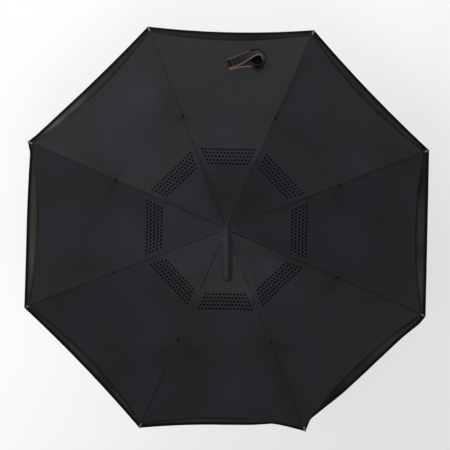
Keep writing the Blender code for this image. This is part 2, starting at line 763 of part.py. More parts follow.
def make_ribs(steel, plastic, fibre, silver):
    upper, lower = upper_spoke_mesh(), lower_spoke_mesh()
    joint, rod, tip = elbow_joint_mesh(), rib_rod_mesh(), rib_tip_mesh()
    for index in range(RIB_COUNT):
        number = index + 1
        angle = rib_angle(index)
        crown = rib_point(index, HINGE_RADIUS, CROWN_Z)
        elbow = rib_point(index, ELBOW_RADIUS, ELBOW_Z)
        place(f"upper_spoke_{number}", upper, steel, crown, (0, SPOKE_RISE, angle))
        place(f"lower_spoke_{number}", lower, steel, elbow, (0, -SPOKE_RISE, angle))
        along_rod = (0, ROD_START_FALL, angle)
        place(f"elbow_joint_{number}", joint, plastic, elbow, along_rod)
        place(f"rib_rod_{number}", rod, fibre, elbow, along_rod)
        place(f"rib_tip_{number}", tip, silver, elbow, along_rod)


def make_canopy(cloth, lining):
    upper_radii = [
        UPPER_CENTRE_RADIUS,
        UPPER_FLAT_RADIUS,
        *spread(UPPER_FLAT_RADIUS, ELBOW_RADIUS, CANOPY_INNER_STEPS)[1:],
        *spread(ELBOW_RADIUS, TACK_RADIUS, CANOPY_MIDDLE_STEPS)[1:],
        *spread(TACK_RADIUS, UPPER_CORNER_RADIUS, CANOPY_OUTER_STEPS)[1:],
    ]
    mesh = canopy_layer(
        "upper_canopy", upper_rib_height, upper_radii, UPPER_HEM_HOLLOW, FABRIC
    )
    place("upper_canopy", mesh, cloth)
    lower_radii = [
        *spread(LOWER_CENTRE_RADIUS, ELBOW_RADIUS, CANOPY_INNER_STEPS),
        *spread(ELBOW_RADIUS, TACK_RADIUS, CANOPY_MIDDLE_STEPS)[1:],
        *spread(TACK_RADIUS, LOWER_CORNER_RADIUS, CANOPY_OUTER_STEPS)[1:],
    ]
    mesh = canopy_layer(
        "lower_canopy", lower_rib_height, lower_radii, LOWER_HEM_HOLLOW, -FABRIC
    )
    place("lower_canopy", mesh, lining)


def make_centre_sleeve(cloth):
    """A soft empty sleeve that lies on the top layer, from the crown towards -Y."""
    half_width = CENTRE_SLEEVE_WIDTH / 2
    rings = []
    for along_share in CENTRE_SLEEVE_SHARES:
        from_middle = abs(2 * along_share - 1)
        blunt = math.sqrt(1 - from_middle**CENTRE_SLEEVE_BLUNT_POWER)
        size = max(blunt, CENTRE_SLEEVE_END_SHARE)
        y = CENTRE_SLEEVE_BACK - (CENTRE_SLEEVE_REACH + CENTRE_SLEEVE_BACK) * along_share
        ring = []
        for side in range(ROUND_SIDES):
            angle = math.tau * side / ROUND_SIDES
            out = half_width * size * math.cos(angle)
            up = CENTRE_SLEEVE_HEIGHT / 2 * size * math.sin(angle)
            ring.append(Vector((out, y, up)))
        rings.append(laid_on_top(ring))
    place("centre_sleeve", finish_mesh("centre_sleeve", loft(bmesh.new(), rings)), cloth)


def strap_stations():
    """Middle line of the strap in plan, its direction, and how far its face has turned up."""
    stations = []
    climb = Vector((math.cos(STRAP_LIFT_ANGLE), math.sin(STRAP_LIFT_ANGLE), 0))
    point = Vector((0, STRAP_APOTHEM, 0))
    for share in STRAP_FLAT_SHARES:
        stations.append((point + climb * STRAP_LENGTH * share, climb, 0))
    bend = point + climb * STRAP_LENGTH
    for share in STRAP_TURN_SHARES:
        stations.append((bend + climb * STRAP_TURN * share, climb, share))
    root = bend + climb * STRAP_TURN
    side = Vector((climb.y, -climb.x, 0))
    for step in range(1, ROUND_SIDES):
        turn = STRAP_LOOP_SWEEP * step / (ROUND_SIDES - 1)
        out = STRAP_LOOP_LENGTH / 2 * math.sin(turn)
        down = STRAP_LOOP_WIDTH / 2 * (1 - math.cos(turn))
        heading = climb * math.cos(turn) * STRAP_LOOP_LENGTH / STRAP_LOOP_WIDTH
        heading += side * math.sin(turn)
        stations.append((root + climb * out + side * down, heading.normalized(), 1))
    return stations


def make_strap(webbing):
    """The tie strap: flat on the top layer, then on edge in an open loop."""
    rings = []
    for point, heading, turned in strap_stations():
        across = Vector((-heading.y, heading.x, 0))
        tilt = turned * math.pi / 2
        wide = across * math.cos(tilt) + Vector((0, 0, 1)) * math.sin(tilt)
        thick = Vector((0, 0, 1)) * math.cos(tilt) - across * math.sin(tilt)
        corners = []
        for w, t in ((-1, -1), (1, -1), (1, 1), (-1, 1)):
            corners.append(
                point + wide * w * STRAP_WIDTH / 2 + thick * t * STRAP_THICKNESS / 2
            )
        rings.append(laid_on_top(corners))
    place("tie_strap", finish_mesh("tie_strap", loft(bmesh.new(), rings)), webbing)


def main():
    clear_scene()
    steel = make_material("blackened_steel", (0.03, 0.03, 0.033), 0.35, 1.0)
    plastic = make_material("black_nylon", (0.012, 0.012, 0.013), 0.5)
    rubber = make_material("black_soft_touch_rubber", (0.015, 0.015, 0.016), 0.65)
    fibre = make_material("black_glass_fibre", (0.02, 0.02, 0.021), 0.4)
    silver = make_material("nickel_plated_steel", (0.62, 0.62, 0.62), 0.3, 1.0)
    cloth = make_material("black_pongee", (0.028, 0.028, 0.031), 0.75)
    lining = make_material("dark_olive_pongee", (0.036, 0.036, 0.03), 0.8)
    webbing = make_material("black_webbing", (0.012, 0.012, 0.012), 0.85)

    make_shaft(steel, rubber, plastic)
    make_crown(plastic, steel)
    make_runner(plastic, silver)
    make_ribs(steel, plastic, fibre, silver)
    make_canopy(cloth, lining)
    make_centre_sleeve(cloth)
    make_strap(webbing)


main()
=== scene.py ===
# %% [markdown]
# # An inverted umbrella, seen from the sky side
# An inverted umbrella closes upwards, so the side that the rain wets ends up inside. It has
# two cloths: a top cloth that the rain falls on, and a lining under the ribs. The folding frame
# hides between them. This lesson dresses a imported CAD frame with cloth, tape and finishes.

# %% The frame
import json
import math

import bmesh
import bpy
import numpy as np
from mathutils import Matrix, Vector


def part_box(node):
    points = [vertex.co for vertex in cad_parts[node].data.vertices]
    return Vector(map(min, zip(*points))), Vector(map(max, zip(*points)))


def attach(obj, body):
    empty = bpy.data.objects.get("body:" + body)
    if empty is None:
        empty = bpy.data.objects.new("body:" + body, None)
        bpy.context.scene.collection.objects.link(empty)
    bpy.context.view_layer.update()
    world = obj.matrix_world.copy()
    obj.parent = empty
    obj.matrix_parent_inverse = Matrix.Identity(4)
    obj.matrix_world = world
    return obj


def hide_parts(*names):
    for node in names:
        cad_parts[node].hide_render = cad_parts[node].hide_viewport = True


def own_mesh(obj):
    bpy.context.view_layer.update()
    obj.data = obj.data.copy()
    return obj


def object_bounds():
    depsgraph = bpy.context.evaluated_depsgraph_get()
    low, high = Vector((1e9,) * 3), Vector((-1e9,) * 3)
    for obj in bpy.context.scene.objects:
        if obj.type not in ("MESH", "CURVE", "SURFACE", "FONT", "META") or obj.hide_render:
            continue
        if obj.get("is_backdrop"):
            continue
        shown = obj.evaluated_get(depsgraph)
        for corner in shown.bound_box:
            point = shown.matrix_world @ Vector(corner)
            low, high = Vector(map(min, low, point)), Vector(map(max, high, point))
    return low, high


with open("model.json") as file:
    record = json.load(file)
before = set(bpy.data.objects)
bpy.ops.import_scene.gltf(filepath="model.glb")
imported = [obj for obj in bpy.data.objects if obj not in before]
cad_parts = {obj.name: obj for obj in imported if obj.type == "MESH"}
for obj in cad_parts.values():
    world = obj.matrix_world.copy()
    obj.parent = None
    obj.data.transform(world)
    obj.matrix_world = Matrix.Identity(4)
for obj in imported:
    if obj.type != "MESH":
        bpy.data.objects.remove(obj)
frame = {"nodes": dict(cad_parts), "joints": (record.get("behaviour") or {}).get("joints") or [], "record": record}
nodes = frame["nodes"]
cad_low, cad_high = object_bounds()

# %% [markdown]
# ## Numbers that the cloth shares with the frame
# The cloth is cut to the frame, so it needs the frame's numbers: where the spokes are hinged,
# where the elbows are, and the bow of the rods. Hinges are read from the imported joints, and the
# rest repeats the CAD model's own sizes, in metres.

# %% Sizes of the frame
RIBS = 8
RIB_STEP = math.tau / RIBS
HALF_GORE = RIB_STEP / 2
TAN_HALF, COS_HALF = math.tan(HALF_GORE), math.cos(HALF_GORE)

joints = {joint["name"]: joint for joint in frame["joints"]}
crown_pin = Vector(joints["crown_hinge_1"]["pos_m"])
elbow_pin = Vector(joints["rib_bend_1"]["pos_m"])
CROWN_Z, ELBOW_Z = crown_pin.z, elbow_pin.z
HINGE_R, ELBOW_R = crown_pin.xy.length, elbow_pin.xy.length
RUNNER_Z = 2 * ELBOW_Z - CROWN_Z
CAP_TOP_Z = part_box("crown_cap")[1].z
TIP_R, TACK_R = 0.530, 0.2935
ROD_RADIUS, ROD_OFFSET = 0.002, 0.0062
ROD_FALL, ROD_HALF_BEND = math.radians(26), math.radians(9.3)


def rib_way(rib):
    """The turn of a rib, counted from 0, and its direction on the plan."""
    turn = HALF_GORE + rib * RIB_STEP
    return turn, np.array((math.cos(turn), math.sin(turn)))


print(f"elbows at {ELBOW_R:.3f} m, crown at {CROWN_Z:.3f} m, runner at {RUNNER_Z:.3f} m")

# %% The bow of a rod
rod_start = ROD_FALL - ROD_HALF_BEND
rod_start_r = ELBOW_R - ROD_OFFSET * math.sin(rod_start)
rod_start_z = ELBOW_Z - ROD_OFFSET * math.cos(rod_start)
rod_bend = (TIP_R - rod_start_r) / math.cos(ROD_FALL) / (2 * math.sin(ROD_HALF_BEND))
rod_centre_r = rod_start_r - rod_bend * math.sin(rod_start)
rod_centre_z = rod_start_z - rod_bend * math.cos(rod_start)
rod_slant = math.cos(ROD_FALL + ROD_HALF_BEND)


def rod_height(radius):
    """Height of a rod's middle at a distance from the shaft."""
    return rod_centre_z + np.sqrt(rod_bend**2 - (radius - rod_centre_r) ** 2)


def eased(share):
    """Goes smoothly from 1 at share 0 to 0 at share 1."""
    share = np.clip(share, 0, 1)
    return 1 - share * share * (3 - 2 * share)


print(f"a rod bows to a radius of {rod_bend:.2f} m and ends at {rod_height(TIP_R):.3f} m")

# %% [markdown]
# ## The camera
# The photograph looks straight down on the open umbrella, from far away, with almost no
# perspective. So the camera hangs 20 m up with a very long lens. The umbrella lies a
# little off the picture's middle and is turned by about a degree. A helper turns a place in the
# 450-pixel picture into a place on the object, so that details can be laid where they are seen.

# %% Camera
FRAME_PX = 450
# heights of the rim, and of the top cloth about halfway out
RIM_Z, CLOTH_Z = 0.28, 0.38
CAMERA_UP = 20.0
FRAME_M = 1.0975
AXIS_PX = (226.7, 229.0)
CAMERA_TURN = math.radians(1.23)

right = Vector((math.cos(CAMERA_TURN), math.sin(CAMERA_TURN)))
up = Vector((-math.sin(CAMERA_TURN), math.cos(CAMERA_TURN)))


def spot(px, py, z=CLOTH_Z):
    """The place on the plan, at height z, that shows at a pixel."""
    metres = FRAME_M / FRAME_PX * (CAMERA_UP + RIM_Z - z) / CAMERA_UP
    across, upward = (px - AXIS_PX[0]) * metres, (AXIS_PX[1] - py) * metres
    return right * across + up * upward


camera_data = bpy.data.cameras.new("camera")
camera_data.sensor_width = 36
camera_data.lens = camera_data.sensor_width * CAMERA_UP / FRAME_M
camera_data.clip_start, camera_data.clip_end = 1, 100
camera = bpy.data.objects.new("camera", camera_data)
half_px = FRAME_PX / 2
offset = spot(half_px, half_px, RIM_Z)
camera.location = (offset.x, offset.y, RIM_Z + CAMERA_UP)
camera.rotation_euler = (0, 0, CAMERA_TURN)
bpy.context.scene.collection.objects.link(camera)
bpy.context.scene.camera = camera
print("camera at", [round(value, 4) for value in camera.location])

# %% [markdown]
# ## Materials
# Each finish is a small node tree round one Principled shader. Colours are written in hex as the
# eye sees them, and one function turns them into the linear values that Blender wants.

# %% Helpers for materials


def linear(hex_colour):
    """An sRGB hex colour as linear red, green, blue and alpha."""
    values = []
    for start in (1, 3, 5):
        value = int(hex_colour[start : start + 2], 16) / 255
        values.append(value / 12.92 if value <= 0.04045 else ((value + 0.055) / 1.055) ** 2.4)
    return (*values, 1.0)


def material(name, colour, **sockets):
    """A new Principled material. Returns the material, its node tree and its shader."""
    made = bpy.data.materials.new(name)
    made.use_nodes = True
    shader = made.node_tree.nodes["Principled BSDF"]
    shader.inputs["Base Color"].default_value = linear(colour)
    for socket, value in sockets.items():
        shader.inputs[socket.replace("_", " ")].default_value = value
    made.diffuse_color = linear(colour)
    return made, made.node_tree, shader


def add_node(tree, kind, inputs=None, **settings):
    """Adds a node. Inputs are values or sockets of other nodes."""
    node = tree.nodes.new("ShaderNode" + kind)
    for key, value in settings.items():
        setattr(node, key, value)
    for key, value in (inputs or {}).items():
        if isinstance(value, bpy.types.NodeSocket):
            tree.links.new(value, node.inputs[key])
        else:
            node.inputs[key].default_value = value
    return node


def wire(tree, source, target):
    """Links a socket to a socket."""
    tree.links.new(source, target)


# %% [markdown]
# ### Pongee
# The cloth is pongee: a tight plain weave of thin polyester yarn. It looks matt, with a faint
# sheen at grazing angles and slightly uneven colour, because the yarn is a little thick and thin.
# Real yarns are 0.15 mm apart, which no picture of the whole umbrella could show, so the weave is drawn five times
# as coarse. Its pattern follows the cloth's own UV map in metres, because each gore is cut with the grain along
# its middle. Two attributes of the cloth darken it: one holds dark lines at its seams and dark spots at its tacks,
# and on the lining painted shade at its edge and a painted shadow under the top cloth's hem; the other holds
# patches of painted shade and painted light.

# %% Pongee cloth
YARN_PITCH = 0.0008


def pongee(name, colour, light_colour, shine, sheen):
    """Pongee between two colours, with its weave, its uneven yarn, its dark marks, and its painted shade and
    painted light.
    """
    made, tree, shader = material(
        name, colour, Roughness=0.5, Specular_IOR_Level=shine,
        Sheen_Weight=sheen, Sheen_Roughness=0.45, Sheen_Tint=linear(light_colour),
    )
    coords = add_node(tree, "TexCoord")
    turns = math.tau / 20 / YARN_PITCH
    waves = []
    for direction in ("X", "Y"):
        wave = add_node(
            tree,
            "TexWave",
            {"Vector": coords.outputs["UV"], "Scale": turns, "Distortion": 0.6, "Detail": 1.0,
             "Detail Scale": 0.4},
            bands_direction=direction,
        )
        waves.append(wave.outputs["Fac"])
    weave = add_node(tree, "Math", {0: waves[0], 1: waves[1]}, operation="MULTIPLY")
    slub = add_node(
        tree, "TexNoise", {"Vector": coords.outputs["UV"], "Scale": 260.0, "Detail": 3.0}
    )
    cloud = add_node(
        tree, "TexNoise", {"Vector": coords.outputs["Object"], "Scale": 7.0, "Detail": 4.0}
    )
    uneven = add_node(
        tree, "Math", {0: slub.outputs["Fac"], 1: cloud.outputs["Fac"]}, operation="MULTIPLY"
    )
    level = add_node(
        tree, "MapRange", {"Value": uneven.outputs[0], "From Min": 0.12, "From Max": 0.40}
    )
    mixed = add_node(
        tree,
        "MixRGB",
        {"Fac": level.outputs[0], "Color1": linear(colour), "Color2": linear(light_colour)},
    )
    shade = add_node(
        tree, "MapRange", {"Value": weave.outputs[0], "To Min": 0.86, "To Max": 1.06}
    )
    stitched = add_node(
        tree,
        "MixRGB",
        {"Fac": 1.0, "Color1": mixed.outputs[0], "Color2": shade.outputs[0]},
        blend_type="MULTIPLY",
    )
    # patches of painted shade and painted light, carried by an attribute
    painted_shading = add_node(tree, "Attribute", attribute_name="painted_shading")
    left_over = add_node(tree, "Math", {0: 1.0, 1: painted_shading.outputs["Fac"]}, operation="SUBTRACT")
    share = add_node(tree, "Math", {0: left_over.outputs[0], 1: 0.1}, operation="MAXIMUM")
    with_painted_shading = add_node(
        tree,
        "MixRGB",
        {"Fac": 1.0, "Color1": stitched.outputs[0], "Color2": share.outputs[0]},
        blend_type="MULTIPLY",
    )
    # dark lines at seams and spots at tacks; on the lining also painted shade at the edge and a painted shadow
    # under the top cloth's hem
    seam = add_node(tree, "Attribute", attribute_name="dark")
    darkened = add_node(
        tree,
        "MixRGB",
        {"Fac": seam.outputs["Fac"], "Color1": with_painted_shading.outputs[0], "Color2": linear("#020203")},
    )
    wire(tree, darkened.outputs[0], shader.inputs["Base Color"])
    bump = add_node(
        tree, "Bump", {"Height": weave.outputs[0], "Strength": 0.25, "Distance": 0.0002}
    )
    grain = add_node(
        tree,
        "Bump",
        {"Height": slub.outputs["Fac"], "Strength": 0.6, "Distance": 0.0004,
         "Normal": bump.outputs[0]},
    )
    wire(tree, grain.outputs[0], shader.inputs["Normal"])
    return made


top_cloth = pongee("pongee_top_black", "#15151a", "#1e1e25", 0.20, 0.10)
lining_cloth = pongee("pongee_lining_olive_black", "#272724", "#31312d", 0.08, 0.06)
print("cloths:", top_cloth.name, lining_cloth.name)

# %% [markdown]
# ## The gore
# A canopy is sewn from eight triangles called gores. One gore is drawn flat as a grid whose rows
# run across it and whose columns run outwards. Eight turned copies make the whole cloth, and
# planes through the seams and hems cut in the lines that the sewing needs.
#
# The top cloth has five rows of punched vents. A hole could be cut with a boolean, but that leaves
# long thin faces. Here the grid is made to fit the holes instead: four quads around each hole
# join into one face, which is inset, rounded and deleted, so that neat rings of quads are left.
# The innermost ring gets a black finish: painted shade round each hole, so that it looks as dark as the shaded gap
# under it.

# %% Drawing one gore
COLUMN = 0.0043
ROW = 0.0044
# rings of faces round each hole: radius inside it, how far it is inset first, which finish; finish 1 is the black
# painted shade
VENT_RINGS = ((0.0031, 0.0012, 0), (0.0028, 0.0006, 0), (0.0011, 0.0006, 1))
# how many vents there are, by row of the grid
VENT_ROWS = {36: 12, 38: 13, 40: 14, 42: 15, 44: 16}
# which part of the cloth a face belongs to
CENTRE, INNER, OUTER = 0, 1, 2


def cut(bm, point, normal, keep="both"):
    """Cuts the mesh with a plane. Inner is the side that the normal points away from."""
    bmesh.ops.bisect_plane(
        bm,
        geom=bm.verts[:] + bm.edges[:] + bm.faces[:],
        dist=1e-6,
        plane_co=point,
        plane_no=normal,
        clear_outer=keep == "inner",
        clear_inner=keep == "outer",
    )


def punch_vents(bm, vents, row, column):
    """Opens a round hole at every place in the list of rows."""
    wanted = set()
    for line, count in vents.items():
        for index in range(count):
            aside = (2 * index - count + 1) * column
            wanted.add((round(line * row * 1e4), round(aside * 1e4)))
    found = [v for v in bm.verts if (round(v.co.x * 1e4), round(v.co.y * 1e4)) in wanted]
    bmesh.ops.dissolve_verts(bm, verts=found)
    cells = [face for face in bm.faces if len(face.verts) == 8]
    for radius, thickness, finish in VENT_RINGS:
        made = bmesh.ops.inset_individual(bm, faces=cells, thickness=thickness)["faces"]
        for face in made:
            face.material_index = finish
        for cell in cells:
            middle = cell.calc_center_median()
            for vert in cell.verts:
                vert.co = middle + (vert.co - middle).normalized() * radius
    bmesh.ops.delete(bm, geom=cells, context="FACES")
    print("vents in a gore:", len(cells))


def flat_gore(first, last, row, column, vents=()):
    """One gore in plan, from apothem first to last, with its middle on +X."""
    rows = math.ceil((last - first) / row)
    columns = 2 * math.ceil(last * TAN_HALF / column)
    bm = bmesh.new()
    bmesh.ops.create_grid(bm, x_segments=rows, y_segments=columns, size=0.5)
    bmesh.ops.translate(bm, vec=(0.5, 0, 0), verts=bm.verts)
    bmesh.ops.scale(bm, vec=(rows * row, columns * column, 1), verts=bm.verts)
    bmesh.ops.translate(bm, vec=(first, 0, 0), verts=bm.verts)
    if vents:
        punch_vents(bm, vents, row, column)
    for side in (-1, 1):
        normal = Vector((-TAN_HALF, side, 0)).normalized()
        cut(bm, (0, 0, 0), normal, keep="inner")
    cut(bm, (last, 0, 0), (1, 0, 0), keep="inner")
    cloth_map = bm.loops.layers.uv.new("cloth")
    for face in bm.faces:
        for loop in face.loops:
            loop[cloth_map].uv = loop.vert.co.xy
    return bm


# %% [markdown]
# ## The shape of a cloth
# Every cloth has a height along the ribs, set by what it lies on, and sags a little between them.
# The hem is cut hollow between the ribs, so that it pulls straight and doesn't flap. The functions
# below give these heights for a whole array of points at once.

# %% Heights along a rib
TOP_FLAT_R = HINGE_R + 0.0038
TOP_CORNER_R, LINING_CORNER_R = 0.516, 0.530
TOP_CLEAR, LINING_CLEAR = 0.0012, 0.0006
CAP_CLEAR, ELBOW_CLEAR = 0.0006, 0.0020
# how far an elbow joint reaches above its pin, and below the rod's middle
JOINT_ABOVE, JOINT_BELOW = 0.0032, 0.0034
# where the lining starts: out from the circle of hinges, and down from the runner's hinges
LINING_OUT, LINING_DOWN = 0.0061, 0.0045
LINING_FADE = 0.060
SAG_SHARE = 0.05
CROWN_RISE = 0.0025
top_flat_z = CAP_TOP_Z + CAP_CLEAR
top_elbow_z = ELBOW_Z + JOINT_ABOVE + ELBOW_CLEAR
lining_drop = JOINT_BELOW / math.cos(rod_start) + LINING_CLEAR
lining_start_r, lining_start_z = HINGE_R + LINING_OUT, RUNNER_Z - LINING_DOWN


def top_height(radius):
    """Underside of the top cloth along a rib."""
    share = np.clip((radius - TOP_FLAT_R) / (ELBOW_R - TOP_FLAT_R), 0, 1)
    inner = top_flat_z + (top_elbow_z - top_flat_z) * share
    inner += CROWN_RISE * eased(radius / TOP_FLAT_R)
    lift = ROD_RADIUS / rod_slant + TOP_CLEAR
    spare = top_elbow_z - rod_height(ELBOW_R) - lift
    fade = eased((radius - ELBOW_R) / (TACK_R - ELBOW_R))
    return np.where(radius <= ELBOW_R, inner, rod_height(radius) + lift + spare * fade)


def lining_height(radius):
    """Top of the lining along a rib."""
    elbow = rod_height(ELBOW_R) - lining_drop
    share = (radius - lining_start_r) / (ELBOW_R - lining_start_r)
    inner = lining_start_z + (elbow - lining_start_z) * share
    lift = -ROD_RADIUS / rod_slant - LINING_CLEAR
    fade = eased((radius - ELBOW_R) / LINING_FADE)
    outer = rod_height(radius) + lift - (lining_drop + lift) * fade
    return np.where(radius <= ELBOW_R, inner, outer)


def gore_place(plan):
    """For points of the plan: gore, apothem, offset, and that offset from -1 to 1."""
    gore = np.round(np.arctan2(plan[:, 1], plan[:, 0]) / RIB_STEP)
    turn = gore * RIB_STEP
    apothem = plan[:, 0] * np.cos(turn) + plan[:, 1] * np.sin(turn)
    aside = plan[:, 1] * np.cos(turn) - plan[:, 0] * np.sin(turn)
    across = np.clip(aside / np.maximum(apothem * TAN_HALF, 1e-6), -1, 1)
    return gore.astype(int) % RIBS, apothem, aside, across


print(f"top cloth from {top_flat_z:.3f} m down to {float(top_height(TOP_CORNER_R)):.3f} m")

# %% [markdown]
# ## Folds
# Cloth under tension folds towards the points that hold it. Here these are the elbows, the
# tacks, where a few stitches tie the top cloth to each rod, and the tips. A fold is a soft
# ridge or valley along a line between two places of the picture. Fold heights are a fraction of a
# millimetre, which is plenty: light across a fold shows its slope, and not its height.

# %% Folds of the top cloth
# each fold: start pixel, end pixel, half widths left and right in mm, height in mm
TOP_FOLDS = (
    (172, 118, 145, 50, 50, 20, 1.4), (186, 112, 160, 50, 20, 50, 1.3),
    (266, 122, 293, 45, 50, 20, 0.8), (282, 118, 306, 55, 20, 50, -4.4),
    (178, 340, 205, 360, 14, 14, -0.9), (178, 340, 200, 330, 10, 10, 0.6),
    (113, 273, 113, 235, 8, 16, -0.7), (113, 273, 75, 262, 14, 14, 1.2),
    (113, 273, 118, 305, 12, 12, -0.9), (115, 182, 85, 152, 16, 16, 0.3),
    (115, 182, 112, 200, 8, 8, -0.6), (115, 182, 135, 163, 8, 8, -1.0),
    (115, 182, 80, 188, 12, 12, 0.6), (180, 117, 165, 128, 10, 10, 0.3),
    (180, 117, 160, 105, 10, 10, 1.1), (180, 117, 210, 118, 10, 10, 0.3),
    (180, 117, 195, 135, 10, 10, -1.0), (274, 119, 262, 138, 10, 10, -0.4),
    (274, 119, 300, 122, 10, 10, -0.7), (340, 185, 336, 205, 8, 8, -0.8),
    (340, 185, 370, 178, 12, 12, -1.5), (340, 185, 365, 205, 12, 12, -0.4),
    (340, 185, 315, 172, 12, 12, -1.0), (337, 279, 325, 292, 12, 12, -0.8),
    (337, 279, 365, 262, 12, 12, 0.5), (337, 279, 350, 300, 12, 12, -2.1),
    (337, 279, 318, 262, 10, 10, 0.9), (268, 342, 255, 348, 10, 10, -0.3),
    (268, 342, 290, 338, 14, 14, 0.8), (268, 342, 285, 365, 14, 14, 1.7),
    (262, 350, 285, 420, 25, 20, -1.0), (285, 345, 303, 410, 20, 25, 0.5),
    (202, 167, 222, 215, 12, 12, -0.2), (256, 164, 242, 205, 12, 12, -0.6),
    (295, 202, 245, 222, 12, 12, 1.1), (293, 259, 245, 240, 14, 14, 1.7),
    (252, 298, 235, 250, 12, 12, -2.3), (158, 257, 205, 240, 12, 12, 1.0),
    (163, 202, 205, 218, 12, 12, 0.5), (182, 266, 215, 240, 8, 8, -0.2),
    (155, 258, 118, 262, 8, 8, -0.9), (163, 203, 150, 215, 8, 8, -0.6),
    (305, 262, 285, 285, 14, 14, 0.3), (256, 300, 240, 322, 12, 12, -0.8),
    (199, 289, 185, 310, 12, 12, 0.5), (256, 164, 268, 150, 12, 12, 0.9),
    (420, 158, 370, 150, 25, 25, 0.7), (30, 300, 75, 285, 20, 20, 0.7),
    (150, 45, 165, 80, 20, 20, -0.8), (300, 425, 285, 390, 15, 15, -0.2),
    (140, 420, 160, 385, 20, 20, -1.1), (420, 312, 380, 290, 20, 20, 0.6),
)
# shares of a fold's line: full height this far from its middle, then fading over the next
FOLD_FULL, FOLD_FADE = 0.2, 0.4
# rib by rib: depth in mm of the three dimples at the tack, which are ever wider
DIMPLE_SPREADS = (5, 12, 28)
TACK_DIMPLES = (
    (0.1, 0.7, 1.8), (0.1, 0.6, 1.5), (0.1, -0.1, 0.0), (0.1, 0.6, 0.8),
    (-0.3, -0.3, 0.0), (-0.2, -0.5, -0.8), (-0.5, -0.7, -0.6), (-0.2, -0.4, -0.4),
)
# from where to where a belly reaches, and gore by gore how much it rises in mm
BELLIES = (
    (0, ELBOW_R * COS_HALF, (0.2, 0.1, -0.9, 0.8, -0.1, -0.7, -0.7, -0.6)),
    (ELBOW_R * COS_HALF, TACK_R * COS_HALF, (-0.1, 1.5, -0.1, -0.1, 1.1, -0.3, -0.4, 0.3)),
    (TACK_R * COS_HALF, 0.460, (-0.6, 3.5, -1.3, 0.5, 1.7, -3.4, -2.3, -1.0)),
)
# how deep a valley may be at a seam, and how much deeper for each metre away from it, so that
# the cloth stays clear of the rods
SEAM_DEPTH, DEPTH_SLOPE = 0.0008, 0.35


def along_line(plan, line, left, right):
    """How near points of the plan are to a line of the picture, from 0 to 1.

    The two half widths are in millimetres, and the line fades out at both ends.
    """
    a, b = np.array(spot(*line[:2])), np.array(spot(*line[2:]))
    length = float(np.hypot(*(b - a)))
    along = (b - a) / length
    share = ((plan - a) @ along) / length
    aside = (plan - a) @ np.array((-along[1], along[0])) * 1000
    width = np.where(aside > 0, left, right)
    faded = eased((np.abs(share - 0.5) - FOLD_FULL) / FOLD_FADE)
    return faded * np.exp(-((aside / width) ** 2))


def tack_distance(plan, rib):
    """How far points of the plan are from the tack on a rib."""
    away = plan - rib_way(rib)[1] * TACK_R
    return np.hypot(away[:, 0], away[:, 1])


def press_folds(plan):
    """The height that folds, dimples and bellies add at points of the plan, in metres."""
    height = np.zeros(len(plan))
    for *line, left, right, rise in TOP_FOLDS:
        height += rise * along_line(plan, line, left, right)
    for rib, depths in enumerate(TACK_DIMPLES):
        distance = tack_distance(plan, rib) * 1000
        for depth, spread in zip(depths, DIMPLE_SPREADS):
            height -= depth * np.exp(-distance / spread)
    gore, apothem, _, across = gore_place(plan)
    for start, end, rises in BELLIES:
        share = np.clip((apothem - start) / (end - start), 0, 1)
        height += np.array(rises)[gore] * np.sin(math.pi * share) ** 2 * (1 - across**2)
    seam = (1 - np.abs(across)) * apothem * TAN_HALF * COS_HALF
    return np.maximum(height / 1000, -SEAM_DEPTH - DEPTH_SLOPE * seam)


print("folds of the top cloth:", len(TOP_FOLDS))

# %% [markdown]
# Some folds are too fine for the mesh, so the light and shade on them is painted: each patch is painted shade that
# darkens the cloth along a line, or painted light that lightens it, and an attribute carries the sum to the
# material. The strip of the lining that shows past the top cloth gets painted shade and painted highlights the
# same way.

# %% Patches of painted shade and light
# each patch of painted shade: start pixel, end pixel, half width in mm, share of the colour taken away, which is
# negative for painted light
TOP_PAINTED_SHADING = (
    (340, 186, 339, 186, 9, 0.16), (338, 188, 336, 206, 12, 0.46),
    (270, 125, 298, 58, 18, 0.12), (179, 117, 179, 118, 10, 0.32),
    (176, 120, 153, 60, 24, 0.46), (114, 181, 114, 182, 12, 0.17),
    (112, 178, 86, 152, 22, 0.46), (115, 184, 106, 198, 12, 0.46),
    (108, 264, 65, 264, 26, 0.46), (113, 250, 113, 262, 8, 0.14),
    (182, 346, 204, 362, 20, 0.46), (172, 347, 157, 361, 16, 0.46),
    (268, 342, 268, 343, 10, 0.24), (270, 350, 302, 420, 26, 0.46),
    (272, 343, 292, 352, 16, 0.46), (262, 345, 255, 350, 12, 0.13),
    (336, 280, 336, 281, 9, 0.25), (338, 278, 323, 293, 15, 0.46),
    (235, 215, 262, 190, 45, 0.43), (222, 200, 226, 175, 38, 0.32),
    (293, 204, 280, 210, 12, 0.32), (302, 264, 272, 252, 15, 0.46),
    (252, 300, 250, 310, 9, 0.12), (157, 257, 150, 260, 8, 0.11),
    (202, 170, 218, 208, 12, 0.46), (254, 165, 249, 175, 9, 0.23),
    (415, 157, 375, 148, 30, 0.46), (300, 300, 285, 290, 35, -0.4),
    (225, 320, 245, 330, 35, -0.4), (150, 150, 140, 165, 35, -0.24),
    (185, 195, 178, 190, 30, -0.31), (128, 215, 128, 240, 28, -0.4),
    (332, 215, 335, 250, 28, -0.27), (262, 265, 272, 272, 25, -0.4),
    (186, 262, 212, 243, 10, -0.14), (195, 255, 205, 265, 30, -0.11),
    (60, 330, 90, 340, 50, -0.25), (380, 215, 390, 245, 45, 0.26),
    (206, 157, 252, 157, 24, -0.25), (154, 210, 154, 252, 24, -0.15),
    (299, 210, 299, 252, 24, -0.2), (225, 395, 235, 385, 50, -0.38),
    (165, 75, 120, 110, 40, -0.4),
)
